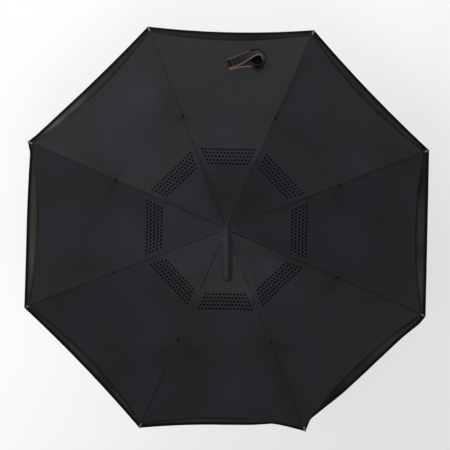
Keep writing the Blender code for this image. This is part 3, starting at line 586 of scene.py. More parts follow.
# patches of painted shade on the lining's strip, and with a negative share painted highlights
LINING_PAINTED_SHADING = (
    (419, 268, 420, 292, 25, -0.6), (421, 250, 421, 262, 18, 0.3), (421, 195, 422, 160, 28, 0.7),
    (400, 130, 333, 60, 25, 0.35), (285, 36, 225, 34, 25, 0.75), (225, 34, 180, 34, 25, 0.4),
    (60, 120, 50, 132, 25, -3.0), (80, 100, 70, 110, 22, -1.2), (127, 56, 110, 72, 25, 0.2),
    (33, 170, 33, 225, 25, -0.4), (32, 240, 32, 280, 25, -0.75), (100, 377, 110, 388, 22, 0.5),
    (68, 344, 74, 350, 18, -0.2), (175, 421, 200, 423, 20, -0.25), (222, 423, 240, 423, 20, 0.2),
    (320, 408, 345, 385, 25, 0.8), (355, 375, 370, 360, 22, 0.45), (380, 350, 385, 345, 18, -0.2),
)
# how far a patch runs on past its line's ends, as a share of its half width
PATCH_ENDS = 0.6


def paint_shading(plan, patches):
    """The share of the colour that all patches of painted shade take away at points of the plan; painted light
    takes a negative share.
    """
    total = np.zeros(len(plan))
    for *line, half, amount in patches:
        a, b = np.array(spot(*line[:2])), np.array(spot(*line[2:]))
        length = float(np.hypot(*(b - a)))
        along = (b - a) / max(length, 1e-6)
        share = (plan - (a + b) / 2) @ along / (length / 2 + PATCH_ENDS * half / 1000)
        aside = (plan - a) @ np.array((-along[1], along[0])) * 1000 / half
        total += amount * np.exp(-(share**2) - aside**2)
    return total


print("soft patches:", len(TOP_PAINTED_SHADING), "and", len(LINING_PAINTED_SHADING))

# %% [markdown]
# ## Sewing the cloth together
# One function makes either cloth in plan: it draws the gore, cuts in lines beside the seams, at
# the hem and where the cloth folds, marks its zones and spins eight copies. A second function
# moves every point to where it hangs.

# %% Making a whole cloth
SEAM_LINES = (0.0012, 0.0036)
HEM_WIDTH = 0.006
SHEET_THICK = 0.0004


def whole_cloth(first, corner, row, column, vents=(), edge=None):
    """Eight gores in plan as one mesh, cut in at its seams, its hem and its folds."""
    last, elbow, flat = corner * COS_HALF, ELBOW_R * COS_HALF, TOP_FLAT_R * COS_HALF
    bm = flat_gore(first, last, row, column, vents)
    for apothem in (last - HEM_WIDTH, elbow, flat):
        cut(bm, (apothem, 0, 0), (1, 0, 0))
    for side in (-1, 1):
        seam = Vector((-TAN_HALF, side, 0)).normalized()
        for line in SEAM_LINES:
            cut(bm, -seam * line, seam)
    zone = bm.faces.layers.int.new("zone")
    for face in bm.faces:
        apothem = face.calc_center_median().x
        face[zone] = OUTER if apothem > elbow else INNER if apothem > flat else CENTRE
    if edge:
        cut(bm, (last - edge, 0, 0), (1, 0, 0))
        for face in bm.faces:
            face.material_index = int(face.calc_center_median().x > last - edge)
    bmesh.ops.spin(
        bm,
        geom=bm.verts[:] + bm.edges[:] + bm.faces[:],
        cent=(0, 0, 0),
        axis=(0, 0, 1),
        angle=math.tau - RIB_STEP,
        steps=RIBS - 1,
        use_duplicate=True,
    )
    bmesh.ops.remove_doubles(bm, verts=bm.verts, dist=1e-5)
    print("a whole cloth in plan has", len(bm.faces), "faces")
    return bm


def hang_cloth(bm, corner, hems, height_along_rib, lift, extra, patches):
    """Moves the points of a flat cloth to where they hang, and marks how dark they are and their painted shade and
    light.
    """
    layers = bm.verts.layers.float
    for mark in ("dark", "painted_shading"):
        layers.new(mark)
    dark, painted_shading = layers["dark"], layers["painted_shading"]
    plan = np.array([vert.co.xy for vert in bm.verts])
    gore, apothem, _, across = gore_place(plan)
    radius = apothem / COS_HALF
    dip = corner - np.array(hems)[gore] / COS_HALF
    hung = radius - dip * (1 - across**2) * (radius / corner) ** 3
    plan = plan * (hung / np.maximum(radius, 1e-6))[:, None]
    half_width = hung * COS_HALF * TAN_HALF
    height = height_along_rib(hung) - SAG_SHARE * half_width * (1 - across**2)
    seam = (1 - np.abs(across)) * half_width * COS_HALF
    plan, added, darkness = extra(plan, hung, seam, radius / corner)
    height = height + lift + added
    painted = paint_shading(plan, patches)
    for vert, place, z, shade, amount in zip(bm.verts, plan, height, darkness, painted):
        vert.co = (*place, z)
        vert[dark], vert[painted_shading] = shade, amount


def plane_cut(bm, turn, keep):
    """Cuts with an upright plane through the shaft at that turn."""
    cut(bm, (0, 0, 0), (-math.sin(turn), math.cos(turn), 0), keep)


# %% [markdown]
# ## Cloth that folds with the frame
# A real cloth gathers into pleats when the umbrella closes. A mesh that rides on rigid bodies can't gather, so
# each cloth is cut along the middle of every gore and along the fold at the elbows. Each wedge then rides on its
# own spoke or rib. Open, the wedges meet edge to edge and read as one cloth.

# %% Cutting wedges
# zone, name and flat size of each ring of wedges
WEDGES = ((INNER, "inner", (0.16, 0.19)), (OUTER, "outer", (0.42, 0.38)))


def finish_piece(name, bm, finish, body, smooth=50):
    """A finished mesh object that rides on a body."""
    mesh = bpy.data.meshes.new(name)
    bm.to_mesh(mesh)
    bm.free()
    mesh.shade_smooth()
    mesh.set_sharp_from_angle(angle=math.radians(smooth))
    for one in finish if isinstance(finish, tuple) else (finish,):
        mesh.materials.append(one)
    obj = bpy.data.objects.new(name, mesh)
    bpy.context.scene.collection.objects.link(obj)
    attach(obj, body)
    return obj


def fold_with_runner(obj):
    """Gives the piece its own copy of its mesh."""
    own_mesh(obj)


def keep_zone(bm, zone_wanted):
    """Deletes the faces of all other zones."""
    zone = bm.faces.layers.int["zone"]
    gone = [face for face in bm.faces if face[zone] != zone_wanted]
    bmesh.ops.delete(bm, geom=gone, context="FACES")


def thicken(bm):
    """Gives a cloth its thickness. Returns the area that it had as a sheet."""
    area = sum(face.calc_area() for face in bm.faces)
    bmesh.ops.solidify(bm, geom=bm.faces, thickness=SHEET_THICK)
    return round(area, 5)


def cut_wedges(whole, name, finish, node, inner_body):
    """Cuts a cloth into an inner and an outer wedge on every rib."""
    total = 0
    for zone, part, size in WEDGES:
        for rib in range(RIBS):
            number, turn = rib + 1, rib_way(rib)[0]
            bm = whole.copy()
            keep_zone(bm, zone)
            plane_cut(bm, turn - HALF_GORE, "outer")
            plane_cut(bm, turn + HALF_GORE, "inner")
            area = thicken(bm)
            body = f"{inner_body}_{number}" if zone == INNER else f"rib_{number}"
            obj = finish_piece(f"{name}_{part}_{number}", bm, finish, body)
            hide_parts(node)
            fold_with_runner(obj)
            total += len(obj.data.polygons)
    print(f"{name}: 16 wedges, {total} faces, outer wedge {area:.4f} square metres")


# %% [markdown]
# ### The top cloth
# Black pongee with eight vent patches, tacked to every rod. Its hems are the hollow curves in
# front of the lining's edge. Each seam is pulled into a shallow groove by its thread, and the
# groove is deeper inside the elbows, where the cloth lies on the spokes.

# %% The top cloth
# apothem of the hem's middle in each gore, anticlockwise from the right
TOP_HEMS = (0.459,) * RIBS
TOP_LIFT = 0.0005
# a seam's groove: its depth, how much deeper it is inside the elbows, and its half width
GROOVE_DEEP, GROOVE_DEEPER, GROOVE_HALF = 0.0011, 0.0006, 0.0013
# over this length before the elbows the groove loses its extra depth
GROOVE_FADE = 0.025
# radii at the crown: where the dark seam lines start, and where the grooves have full depth
SEAM_FROM, GROOVE_FULL, GROOVE_GROWS = 0.004, 0.018, 0.01
# half widths of a seam's dark line and of the dark spot at a tack, and how dark that spot is
SEAM_HALF, TACK_SPOT, TACK_DARK = 0.0015, 0.0035, 0.9


def top_extra(plan, radius, seam, _):
    """The top cloth's grooves and folds, and how dark its seams and tacks are."""
    depth = GROOVE_DEEP + GROOVE_DEEPER * eased((radius - ELBOW_R + GROOVE_FADE) / GROOVE_FADE)
    groove = -depth * np.exp(-((seam / GROOVE_HALF) ** 2))
    added = groove * eased((GROOVE_FULL - radius) / GROOVE_GROWS) + press_folds(plan)
    dark = np.exp(-((seam / SEAM_HALF) ** 2)) * (radius > SEAM_FROM)
    for rib in range(RIBS):
        dark += TACK_DARK * np.exp(-((tack_distance(plan, rib) / TACK_SPOT) ** 2))
    return plan, added, np.minimum(dark, 1)


# black thread for the stitches; the same black is painted shade in the vents and round the strap's loop
black_thread_and_shade = material(
    "stitching_and_painted_shade_black", "#030303", Roughness=0.9, Specular_IOR_Level=0.05
)[0]
top_finish = (top_cloth, black_thread_and_shade)
top_whole = whole_cloth(ROW, TOP_CORNER_R, ROW, COLUMN, VENT_ROWS)
hang_cloth(top_whole, TOP_CORNER_R, TOP_HEMS, top_height, TOP_LIFT, top_extra, TOP_PAINTED_SHADING)
cut_wedges(top_whole, "top_cloth", top_finish, "upper_canopy", "upper_spoke")

# %% The centre disc of the top cloth
CROWN_HOLE_R = 0.010

centre = top_whole.copy()
keep_zone(centre, CENTRE)
ring = [
    edge for edge in centre.edges
    if edge.is_boundary and edge.verts[0].co.xy.length < CROWN_HOLE_R
]
bmesh.ops.holes_fill(centre, edges=ring, sides=0)
centre_area = thicken(centre)
disc = finish_piece("top_cloth_centre", centre, top_cloth, "shaft")
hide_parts("upper_canopy")
top_whole.free()
print("centre disc:", len(disc.data.polygons), "faces")

# %% [markdown]
# ### The lining
# The lining hangs under the rods, so from below it hides the frame, and from above only its edge
# shows past the hems of the top cloth. Its weave catches a little more light, with an olive cast.
# A thin black line of painted shade runs along its edge, where its hem turns down. A painted shadow lies along the
# top cloth's hem, and patches of painted shade and painted highlights lie on the strip that shows. The strip
# ripples a little, and next to three tips the lining is pulled in or out.

# %% How the lining is pulled and rippled
LINING_HEMS = (0.490, 0.484, 0.480, 0.485, 0.4885, 0.484, 0.478, 0.487)
# pulled corners: rib, places beside it, pulls there
PULLS = (
    (3, (-0.117, -0.023, 0, 0.023, 0.117, 0.2), (0, 0.002, 0, 0.0070, 0.0036, 0)),
    (6, (-0.2, -0.117, -0.07, -0.023, 0, 0.023, 0.07, 0.117, 0.2),
     (0, 0.009, 0.0185, 0.0052, 0, 0.0155, 0.0120, 0.005, 0)),
    (7, (-0.07, -0.023, 0), (0, -0.0045, 0)),
)
PULL_START = 0.440
# ripples of the strip at the hem: wave length, height
HEM_RIPPLES = ((0.061, 0.0014), (0.037, 0.0009), (0.023, 0.0005))
# puts the ripples of the gores out of step
RIPPLE_SHIFT = 300
# as shares of the way to the hem: where ripples start, and over how much they grow
RIPPLE_START, RIPPLE_GROWS = 0.84, 0.08


def pull_corners(plan):
    """Pulls points of the plan in or out next to some tips."""
    for rib, places, pulls in PULLS:
        out = rib_way(rib)[1]
        side = np.array((-out[1], out[0]))
        share = np.clip((plan @ out - PULL_START) / (LINING_CORNER_R - PULL_START), 0, 1)
        pull = np.interp(plan @ side, places, pulls) * share
        plan = plan - pull[:, None] * out
    return plan


print("pulled corners:", len(PULLS))

# %% The lining
SHADED_EDGE_WIDTH = 0.0026
LINING_ROW, LINING_COLUMN = 0.0045, 0.0075
LINING_LIFT = -0.0001
# a seam's ridge: height, half width
LINING_RIDGE = (0.0005, 0.0016)
# dark lines of painted shade: how dark, half width, at a seam, and as a painted shadow under the top cloth's hem
SEAM_SHADE, HEM_SHADOW = (0.6, 0.0012), (0.9, 0.0045)
# the painted shade at the edge: how dark, from which share of the way to the hem
EDGE_SHADE = (0.95, 0.987)


def band(distance, amount, half):
    """A soft band that is strongest at distance 0."""
    return amount * np.exp(-((distance / half) ** 2))


def lining_extra(plan, _, seam, reach):
    """The lining's ridges, ripples and pulled corners, and how dark it is, with painted shade at its seams and
    edge and a painted shadow under the top cloth's hem.
    """
    gore, apothem, aside, across = gore_place(plan)
    hollow = 1 - across**2
    added = band(seam, *LINING_RIDGE)
    for length, rise in HEM_RIPPLES:
        wave = rise * np.sin(aside * math.tau / length + (1 + gore) * length * RIPPLE_SHIFT)
        added += wave * np.clip((reach - RIPPLE_START) / RIPPLE_GROWS, 0, 1) * hollow
    corner = TOP_CORNER_R * COS_HALF
    hem = corner - (corner - np.array(TOP_HEMS)[gore]) * hollow
    dark = band(seam, *SEAM_SHADE) + band(apothem - hem, *HEM_SHADOW)
    dark += EDGE_SHADE[0] * (reach > EDGE_SHADE[1])
    return pull_corners(plan), added, np.clip(dark, 0, 1)


# a matt black finish for the lining's edge: painted shade of its turned-down hem
edge_shade_black = material(
    "lining_edge_painted_shade", "#030303", Roughness=0.9, Specular_IOR_Level=0.05
)[0]
lining_whole = whole_cloth(
    lining_start_r * COS_HALF, LINING_CORNER_R, LINING_ROW, LINING_COLUMN, edge=SHADED_EDGE_WIDTH
)
hang_cloth(
    lining_whole, LINING_CORNER_R, LINING_HEMS, lining_height, LINING_LIFT, lining_extra,
    LINING_PAINTED_SHADING,
)
lining_finish = (lining_cloth, edge_shade_black)
cut_wedges(
    lining_whole, "lining", lining_finish, "lower_canopy", "lower_spoke"
)
lining_whole.free()

# %% [markdown]
# ## Tape and ribbon laid on the cloth
# Things laid on the top cloth need its height. A ribbon is a grid that is bent into place: one
# side of the grid runs along the ribbon and the other across it. A rolled edge is a grid too,
# closed round the ribbon's edge like a tube.

# %% Laying things on the top cloth


def top_surface(plan):
    """Height of the top cloth's outer face."""
    plan = np.atleast_2d(np.array(plan, float))
    _, apothem, _, across = gore_place(plan)
    sag = SAG_SHARE * apothem * TAN_HALF * (1 - across**2)
    return top_height(apothem / COS_HALF) - sag + TOP_LIFT + press_folds(plan)


def smooth_path(points, steps):
    """A smooth path through rows of numbers, with some steps between each two rows."""
    rows = np.array(points, float)
    before = np.vstack([2 * rows[0] - rows[1], rows[:-1]])
    after = np.vstack([rows[1:], 2 * rows[-1] - rows[-2]])
    slopes = (after - before) / 2
    path = []
    for index in range(len(rows) - 1):
        for step in range(steps):
            t = step / steps
            path.append(
                rows[index] * (1 + 2 * t) * (1 - t) ** 2
                + slopes[index] * t * (1 - t) ** 2
                + rows[index + 1] * t * t * (3 - 2 * t)
                + slopes[index + 1] * t * t * (t - 1)
            )
    return np.array([*path, rows[-1]])


def bent_grid(places, closed=False):
    """A grid bent to an array of places: along, across, xyz. Its map is in metres."""
    along, across = places.shape[0] - 1, places.shape[1] - 1
    bm = bmesh.new()
    bmesh.ops.create_grid(bm, x_segments=along, y_segments=across, size=0.5)
    tape_map = bm.loops.layers.uv.new("tape")
    lengths = np.linalg.norm(np.diff(places.mean(axis=1), axis=0), axis=1)
    run = np.concatenate([[0], np.cumsum(lengths)])
    width = np.linalg.norm(np.diff(places[0], axis=0), axis=1).sum()
    for face in bm.faces:
        for loop in face.loops:
            i = round((loop.vert.co.x + 0.5) * along)
            j = round((loop.vert.co.y + 0.5) * across)
            loop[tape_map].uv = (run[i], width * j / across)
    for vert in bm.verts:
        i, j = round((vert.co.x + 0.5) * along), round((vert.co.y + 0.5) * across)
        vert.co = places[i, j]
    if closed:
        bmesh.ops.remove_doubles(bm, verts=bm.verts, dist=1e-6)
    bmesh.ops.recalc_face_normals(bm, faces=bm.faces)
    return bm


# %% [markdown]
# ### Tack stitches
# A little past halfway out, a few stitches of black thread tie the top cloth to every rod. They
# show as a small dark spot on each seam, with the cloth's folds round it. Each stitch is a cube
# that is stretched, rounded and laid across the seam, and the outer two lean apart.

# %% Tack stitches
TACK_STITCHES = (-0.0020, 0.0, 0.0020)
STITCH_SIZE = (0.0012, 0.0060, 0.0006)
STITCH_ROUND, STITCH_SUNK = 0.0002, 0.0002
STITCH_LEAN = 0.5

for rib in range(RIBS):
    turn, out = rib_way(rib)
    bm = bmesh.new()
    for along in TACK_STITCHES:
        place = out * (TACK_R + along)
        height = float(top_surface(place)[0]) - STITCH_SUNK
        lean = turn + STITCH_LEAN * along / TACK_STITCHES[-1]
        made = bmesh.ops.create_cube(bm, size=1)["verts"]
        bmesh.ops.scale(bm, vec=STITCH_SIZE, verts=made)
        where = Matrix.Translation((*place, height)) @ Matrix.Rotation(lean, 4, "Z")
        bmesh.ops.transform(bm, matrix=where, verts=made)
    bmesh.ops.bevel(bm, geom=bm.edges, offset=STITCH_ROUND, segments=2, affect="EDGES")
    finish_piece(f"tack_stitches_{rib + 1}", bm, black_thread_and_shade, f"rib_{rib + 1}")
print("tacked ribs:", RIBS)

# %% [markdown]
# ### The tie strap
# A tape about 25 mm wide ties the closed umbrella. Both its ends are sewn to the top cloth at one place, so it
# makes a loop: the first half lies flat, and then the tape turns on edge round the loop and comes back flat
# underneath. Its edges are bound in copper-coloured satin, and round the loop the binding is black: painted shade
# of the loop's own shadow. Where the tape stands on edge, the picture shows only how far its edges are apart on
# the plan, and the tape's width then says how high its upper edge stands.

# %% The strap's two edges
# for each place: outer edge pixel, height in mm, inner edge pixel, height in mm
STRAP_PLACES = (
    (226.3, 59.8, 2.6, 228.9, 68.4, 2.6),
    (233.0, 57.2, 2.6, 235.6, 66.0, 2.6),
    (240.0, 54.4, 2.6, 242.2, 63.2, 3.6),
    (247.0, 51.6, 2.4, 247.6, 59.8, 9.0),
    (252.0, 49.9, 1.8, 252.8, 56.6, 14.0),
    (256.5, 49.2, 1.2, 256.2, 54.8, 17.5),
    (260.6, 50.3, 1.0, 258.9, 54.1, 19.6),
    (263.7, 52.9, 1.0, 261.2, 55.4, 20.4),
    (265.2, 56.6, 1.0, 262.5, 57.9, 20.8),
    (264.8, 60.4, 1.0, 262.1, 60.6, 20.8),
    (262.3, 63.6, 1.0, 260.2, 62.3, 20.6),
    (258.6, 65.6, 1.0, 257.4, 62.6, 20.0),
    (254.7, 66.2, 1.0, 253.6, 61.4, 16.5),
    (250.6, 66.0, 1.0, 249.6, 58.6, 7.0),
    (246.0, 66.2, 1.0, 244.6, 57.8, 3.2),
    (240.3, 66.9, 1.0, 237.9, 58.3, 1.2),
    (234.3, 68.0, 1.0, 231.7, 59.4, 1.0),
    (229.6, 69.2, 1.0, 227.2, 60.6, 1.0),
)
STRAP_THICK = 0.0012
STRAP_STEPS = 6
STRAP_ACROSS = 10


def strap_edges():
    """The two edges of the strap as paths of points."""
    rows = []
    for ax, ay, az, bx, by, bz in STRAP_PLACES:
        a, b = spot(ax, ay), spot(bx, by)
        ground_a, ground_b = top_surface([a[:], b[:]])
        rows.append([*a, ground_a + az / 1000, *b, ground_b + bz / 1000])
    path = smooth_path(rows, STRAP_STEPS)
    return path[:, :3], path[:, 3:]


edge_a, edge_b = strap_edges()

# %% [markdown]
# The strap's material is a black tape with fine ribs across it. The binding is a satin ribbon,
# so it has a soft shine along its threads.

# %% Strap materials


def ribbed(name, colour, light_colour, pitch, roughness, sheen, shine):
    """A woven tape or ribbon with ribs across it, a pitch apart."""
    made, tree, shader = material(
        name, colour, Roughness=roughness, Specular_IOR_Level=shine,
        Sheen_Weight=sheen, Sheen_Roughness=0.4,
    )
    coords = add_node(tree, "TexCoord")
    wave = add_node(
        tree,
        "TexWave",
        {"Vector": coords.outputs["UV"], "Scale": math.tau / 20 / pitch, "Distortion": 0.8,
         "Detail": 2.0},
        bands_direction="X",
    )
    mixed = add_node(
        tree,
        "MixRGB",
        {"Fac": wave.outputs["Fac"], "Color1": linear(colour), "Color2": linear(light_colour)},
    )
    wire(tree, mixed.outputs[0], shader.inputs["Base Color"])
    bump = add_node(
        tree, "Bump", {"Height": wave.outputs["Fac"], "Strength": 0.4, "Distance": 0.0002}
    )
    wire(tree, bump.outputs[0], shader.inputs["Normal"])
    return made


tape = ribbed("strap_black_tape", "#121211", "#20201e", 0.0012, 0.75, 0.12, 0.15)
ribbon = ribbed("binding_copper_satin_ribbon", "#6b4540", "#916a62", 0.0009, 0.55, 0.3, 0.3)
snap_black = material(
    "press_stud_black_nylon", "#151516", Roughness=0.6, Specular_IOR_Level=0.2
)[0]
print("strap finishes:", tape.name, ribbon.name, snap_black.name)

# %% Making the strap
STRAP_BODY = "rib_2"


def strap_normals():
    """The tape's own normal at every step along it."""
    run = np.gradient((edge_a + edge_b) / 2, axis=0)
    normal = np.cross(run, edge_b - edge_a)
    return normal / np.linalg.norm(normal, axis=1)[:, None]


normals = strap_normals()
share = np.linspace(0, 1, STRAP_ACROSS + 1)[None, :, None]
places = edge_a[:, None] * (1 - share) + edge_b[:, None] * share
bm = bent_grid(places)
bmesh.ops.solidify(bm, geom=bm.faces, thickness=STRAP_THICK)
strap = finish_piece("tie_strap_tape", bm, tape, STRAP_BODY)
print("tape:", len(strap.data.polygons), "faces")
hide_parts("tie_strap")
fold_with_runner(strap)

# %% Binding the strap's edges
# the binding's half size along and across the tape, how far it sits in from the tape's edge, and how much fuller
# the black stretches are, which are painted shade round the loop and show as a black outline
BINDING_OUT, BINDING_UP, BINDING_IN = 0.0018, 0.0013, 0.0006
SHADE_BULK = 1.7
BINDING_AROUND = 8
# which edge, from which place of the strap to which, and what it is bound with; round the loop it is black painted
# shade
BINDINGS = (
    ("outer", 0, 3.7, ribbon), ("outer_loop", 3.7, 12, black_thread_and_shade),
    ("outer_back", 12, 17, ribbon), ("inner", 0, 8.5, ribbon),
    ("inner_loop", 8.5, 13, black_thread_and_shade), ("inner_back", 13, 17, ribbon),
)
for name, first, last, finish in BINDINGS:
    part = slice(round(first * STRAP_STEPS), round(last * STRAP_STEPS) + 1)
    edge, other = (edge_a, edge_b) if name.startswith("outer") else (edge_b, edge_a)
    inward = (other - edge) / np.linalg.norm(other - edge, axis=1)[:, None]
    bulk = SHADE_BULK if finish == black_thread_and_shade else 1.0
    around = np.linspace(0, math.tau, BINDING_AROUND + 1)
    into = BINDING_IN + bulk * BINDING_OUT * np.cos(around)
    high = bulk * BINDING_UP * np.sin(around)
    places = (
        edge[:, None] + inward[:, None] * into[None, :, None]
        + normals[:, None] * high[None, :, None]
    )
    bm = bent_grid(places[part], closed=True)
    bmesh.ops.holes_fill(bm, edges=bm.edges, sides=0)
    bmesh.ops.recalc_face_normals(bm, faces=bm.faces)
    binding = finish_piece(f"tie_strap_binding_{name}", bm, finish, STRAP_BODY)
    fold_with_runner(binding)
print("bindings:", len(BINDINGS))

# %% [markdown]
# Rows of black stitches cross the strap where its ends are sewn down, and one half of a black
# press stud sits between two of them.

# %% Stitch rows and the press stud
# where along the strap a row of stitches crosses it, and how wide it is in mm
STITCH_ROWS = ((0.25, 3.0), (0.95, 0.9), (1.75, 0.9), (2.25, 0.7))
# how far the rows stand off the tape, how thick they are, and how much of its width they cross
ROW_OFF, ROW_THICK, ROW_SPAN, ROW_POINTS = 0.0002, 0.0004, (0.04, 0.96), 12
# the stud: its place, radii at foot and top, height, rim, depth of its hollow, how far off
STUD_PLACE = 1.35
STUD_FOOT, STUD_TOP, STUD_HIGH = 0.0056, 0.0050, 0.0016
STUD_RIM, STUD_HOLLOW, STUD_OFF = 0.0012, 0.0009, 0.0006


def strap_place(place):
    """Both edges of the strap at a place, the way it runs there, and its upper side."""
    index = round(place * STRAP_STEPS)
    run = edge_a[index + 1] - edge_a[max(index - 1, 0)]
    upper = normals[index] * np.sign(normals[index][2])
    return edge_a[index], edge_b[index], run / np.linalg.norm(run), upper


for number, (place, wide) in enumerate(STITCH_ROWS, 1):
    a, b, run, upper = strap_place(place)
    across = np.linspace(*ROW_SPAN, ROW_POINTS)[:, None]
    line = a * (1 - across) + b * across + upper * (STRAP_THICK + ROW_OFF)
    places = np.stack([line - run * wide / 2000, line + run * wide / 2000])
    bm = bent_grid(places)
    bmesh.ops.solidify(bm, geom=bm.faces, thickness=ROW_THICK)
    row = finish_piece(f"tie_strap_stitch_{number}", bm, black_thread_and_shade, STRAP_BODY)
    fold_with_runner(row)

a, b, _, upper = strap_place(STUD_PLACE)
bm = bmesh.new()
bmesh.ops.create_cone(
    bm, cap_ends=True, segments=32, radius1=STUD_FOOT, radius2=STUD_TOP, depth=STUD_HIGH
)
top = max(bm.faces, key=lambda face: face.calc_center_median().z)
bmesh.ops.inset_individual(bm, faces=[top], thickness=STUD_RIM)
bmesh.ops.translate(bm, verts=top.verts, vec=(0, 0, -STUD_HOLLOW))
facing = Vector(upper).to_track_quat("Z", "Y").to_matrix().to_4x4()
seat = Matrix.Translation(Vector((a + b) / 2 + upper * (STRAP_THICK + STUD_OFF))) @ facing
bmesh.ops.transform(bm, matrix=seat, verts=bm.verts)
stud = finish_piece("tie_strap_press_stud", bm, snap_black, STRAP_BODY, 35)
fold_with_runner(stud)
print("rows of stitches:", len(STITCH_ROWS), "and a stud of", len(stud.data.polygons), "faces")

# %% [markdown]
# ### The centre sleeve
# A soft cloth sleeve, empty and flattened, lies on the top cloth from the crown downwards. It is
# a tube of rows that is bent into place. Its flat side rises from its left edge, so that it
# catches the light, and it drops to the cloth in a short soft step on the right.

# %% The centre sleeve
SLEEVE_TOP, SLEEVE_END = spot(226.7, 225.0, 0.5), spot(227.1, 282.0, 0.47)
# half width, height, where across it the crest is, from -1 to 1, and how deep it sits
SLEEVE_HALF, SLEEVE_HIGH, SLEEVE_CREST, SLEEVE_SUNK = 0.0160, 0.0075, 0.10, 0.0003
SLEEVE_AROUND, SLEEVE_ALONG = 32, 60
# the left edge rises this much of the height within this part of the width, the rest up to
# the crest, and the sleeve reaches its full height and width this far along
EDGE_RISE, EDGE_WIDTH, SLEEVE_GROWS = 0.85, 0.55, 0.4
# at the crown it starts with these shares of its width and height
START_WIDE, START_HIGH = 0.7, 0.2
# places across the sleeve, and how much painted shade it has there: painted light on the left and painted shade on
# the right
SLEEVE_PLACES, SLEEVE_PAINTED_SHADE = (-1, -0.45, 0, 0.3, 0.8), (-0.7, -0.55, -0.1, 0.3, 0.2)

angles = np.linspace(0, math.tau, SLEEVE_AROUND + 1)
out = np.cos(angles)
edge = 1 - eased((out + 1) / EDGE_WIDTH)
side = EDGE_RISE * edge + (1 - EDGE_RISE) * np.clip((out + 1) / (1 + SLEEVE_CREST), 0, 1)
far = eased((out - SLEEVE_CREST) / (1 - SLEEVE_CREST))
profile = np.where(np.sin(angles) > 0, side * far, 0)
rows = []
for step in range(SLEEVE_ALONG + 1):
    share = (1 - math.cos(math.pi * step / SLEEVE_ALONG)) / 2
    middle = np.array(SLEEVE_TOP) * (1 - share) + np.array(SLEEVE_END) * share
    # both ends are blunt, and never quite closed
    blunt = max(max(1 - abs(2 * share - 1) ** 12, 0) ** 0.5, 0.02)
    grown = 1 - float(eased(share / SLEEVE_GROWS))
    half = SLEEVE_HALF * blunt * (START_WIDE + (1 - START_WIDE) * grown)
    plan = middle[None, :] + half * out[:, None] * np.array(right)[None, :]
    crest = profile * blunt * (START_HIGH + (1 - START_HIGH) * grown)
    z = top_surface(plan) - SLEEVE_SUNK + SLEEVE_HIGH * crest
    rows.append(np.column_stack([plan, z]))
bm = bent_grid(np.array(rows), closed=True)
bmesh.ops.holes_fill(bm, edges=bm.edges, sides=0)
bmesh.ops.recalc_face_normals(bm, faces=bm.faces)
# the sleeve's left side gets painted light and its right side painted shade
painted_shading = bm.verts.layers.float.new("painted_shading")
for vert in bm.verts:
    aside = float((np.array(vert.co.xy) - np.array(SLEEVE_TOP)) @ np.array(right)) / SLEEVE_HALF
    vert[painted_shading] = np.interp(aside, SLEEVE_PLACES, SLEEVE_PAINTED_SHADE)
sleeve = finish_piece("centre_sleeve_cloth", bm, top_cloth, "upper_spoke_7")
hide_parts("centre_sleeve")
fold_with_runner(sleeve)
print("sleeve:", len(sleeve.data.polygons), "faces")

# %% [markdown]
# ## Finishes of the frame
# The frame's parts come from the CAD with the right shapes, and only need their finishes.

# %% Finishes of the frame


def moulded(name, colour, roughness, grain):
    """A moulded plastic or rubber with a fine spark-eroded grain."""
    made, tree, shader = material(name, colour, Roughness=roughness)
    coords = add_node(tree, "TexCoord")
    noise = add_node(
        tree, "TexNoise", {"Vector": coords.outputs["Object"], "Scale": grain, "Detail": 3.0}
    )
    bump = add_node(
        tree, "Bump", {"Height": noise.outputs["Fac"], "Strength": 0.15, "Distance": 0.0002}
    )
    wire(tree, bump.outputs[0], shader.inputs["Normal"])
    level = add_node(
        tree,
        "MapRange",
        {"Value": noise.outputs["Fac"], "To Min": roughness - 0.06, "To Max": roughness + 0.08},
    )
    wire(tree, level.outputs[0], shader.inputs["Roughness"])
    return made


def drawn_metal(name, colour, roughness):
    """Metal with faint drawing lines along its length."""
    made, tree, shader = material(name, colour, Roughness=roughness, Metallic=1.0)
    coords = add_node(tree, "TexCoord")
    scale = add_node(
        tree,
        "Mapping",
        {"Vector": coords.outputs["Object"], "Scale": (900.0, 900.0, 30.0)},
    )
    noise = add_node(tree, "TexNoise", {"Vector": scale.outputs[0], "Scale": 1.0})
    level = add_node(
        tree,
        "MapRange",
        {"Value": noise.outputs["Fac"], "To Min": roughness - 0.08, "To Max": roughness + 0.10},
    )
    wire(tree, level.outputs[0], shader.inputs["Roughness"])
    return made


finishes = {
    "frame_steel": drawn_metal("spoke_steel_black_enamel", "#2a2a2c", 0.38),
    "tip_metal": drawn_metal("tip_nickel_plated_steel", "#7c7b78", 0.34),
    "frame_nylon": moulded("hub_nylon_black", "#151516", 0.45, 1800.0),
    "rod_fibre": moulded("rod_glass_fibre_black", "#1c1c1e", 0.32, 900.0),
    "grip_rubber": moulded("grip_soft_touch_rubber", "#19191a", 0.62, 2600.0),
}
slot_of = {part["node"]: part["material_slot"] for part in frame["record"]["subparts"]}
finished = 0
for name, obj in nodes.items():
    finish = finishes.get(slot_of[name])
    if finish:
        obj.data.materials.clear()
        obj.data.materials.append(finish)
        finished += 1
print("frame parts with a finish:", finished)

# %% [markdown]
# ## Floor and light
# The floor is white paper under the handle. The camera sees it brightened, as the photograph's
# own bright floor, and it is see-through from below. Two rings of big soft lamps with unequal
# strengths and a weak even sky give the photograph's soft light, brightest from the top.

# %% Floor and light


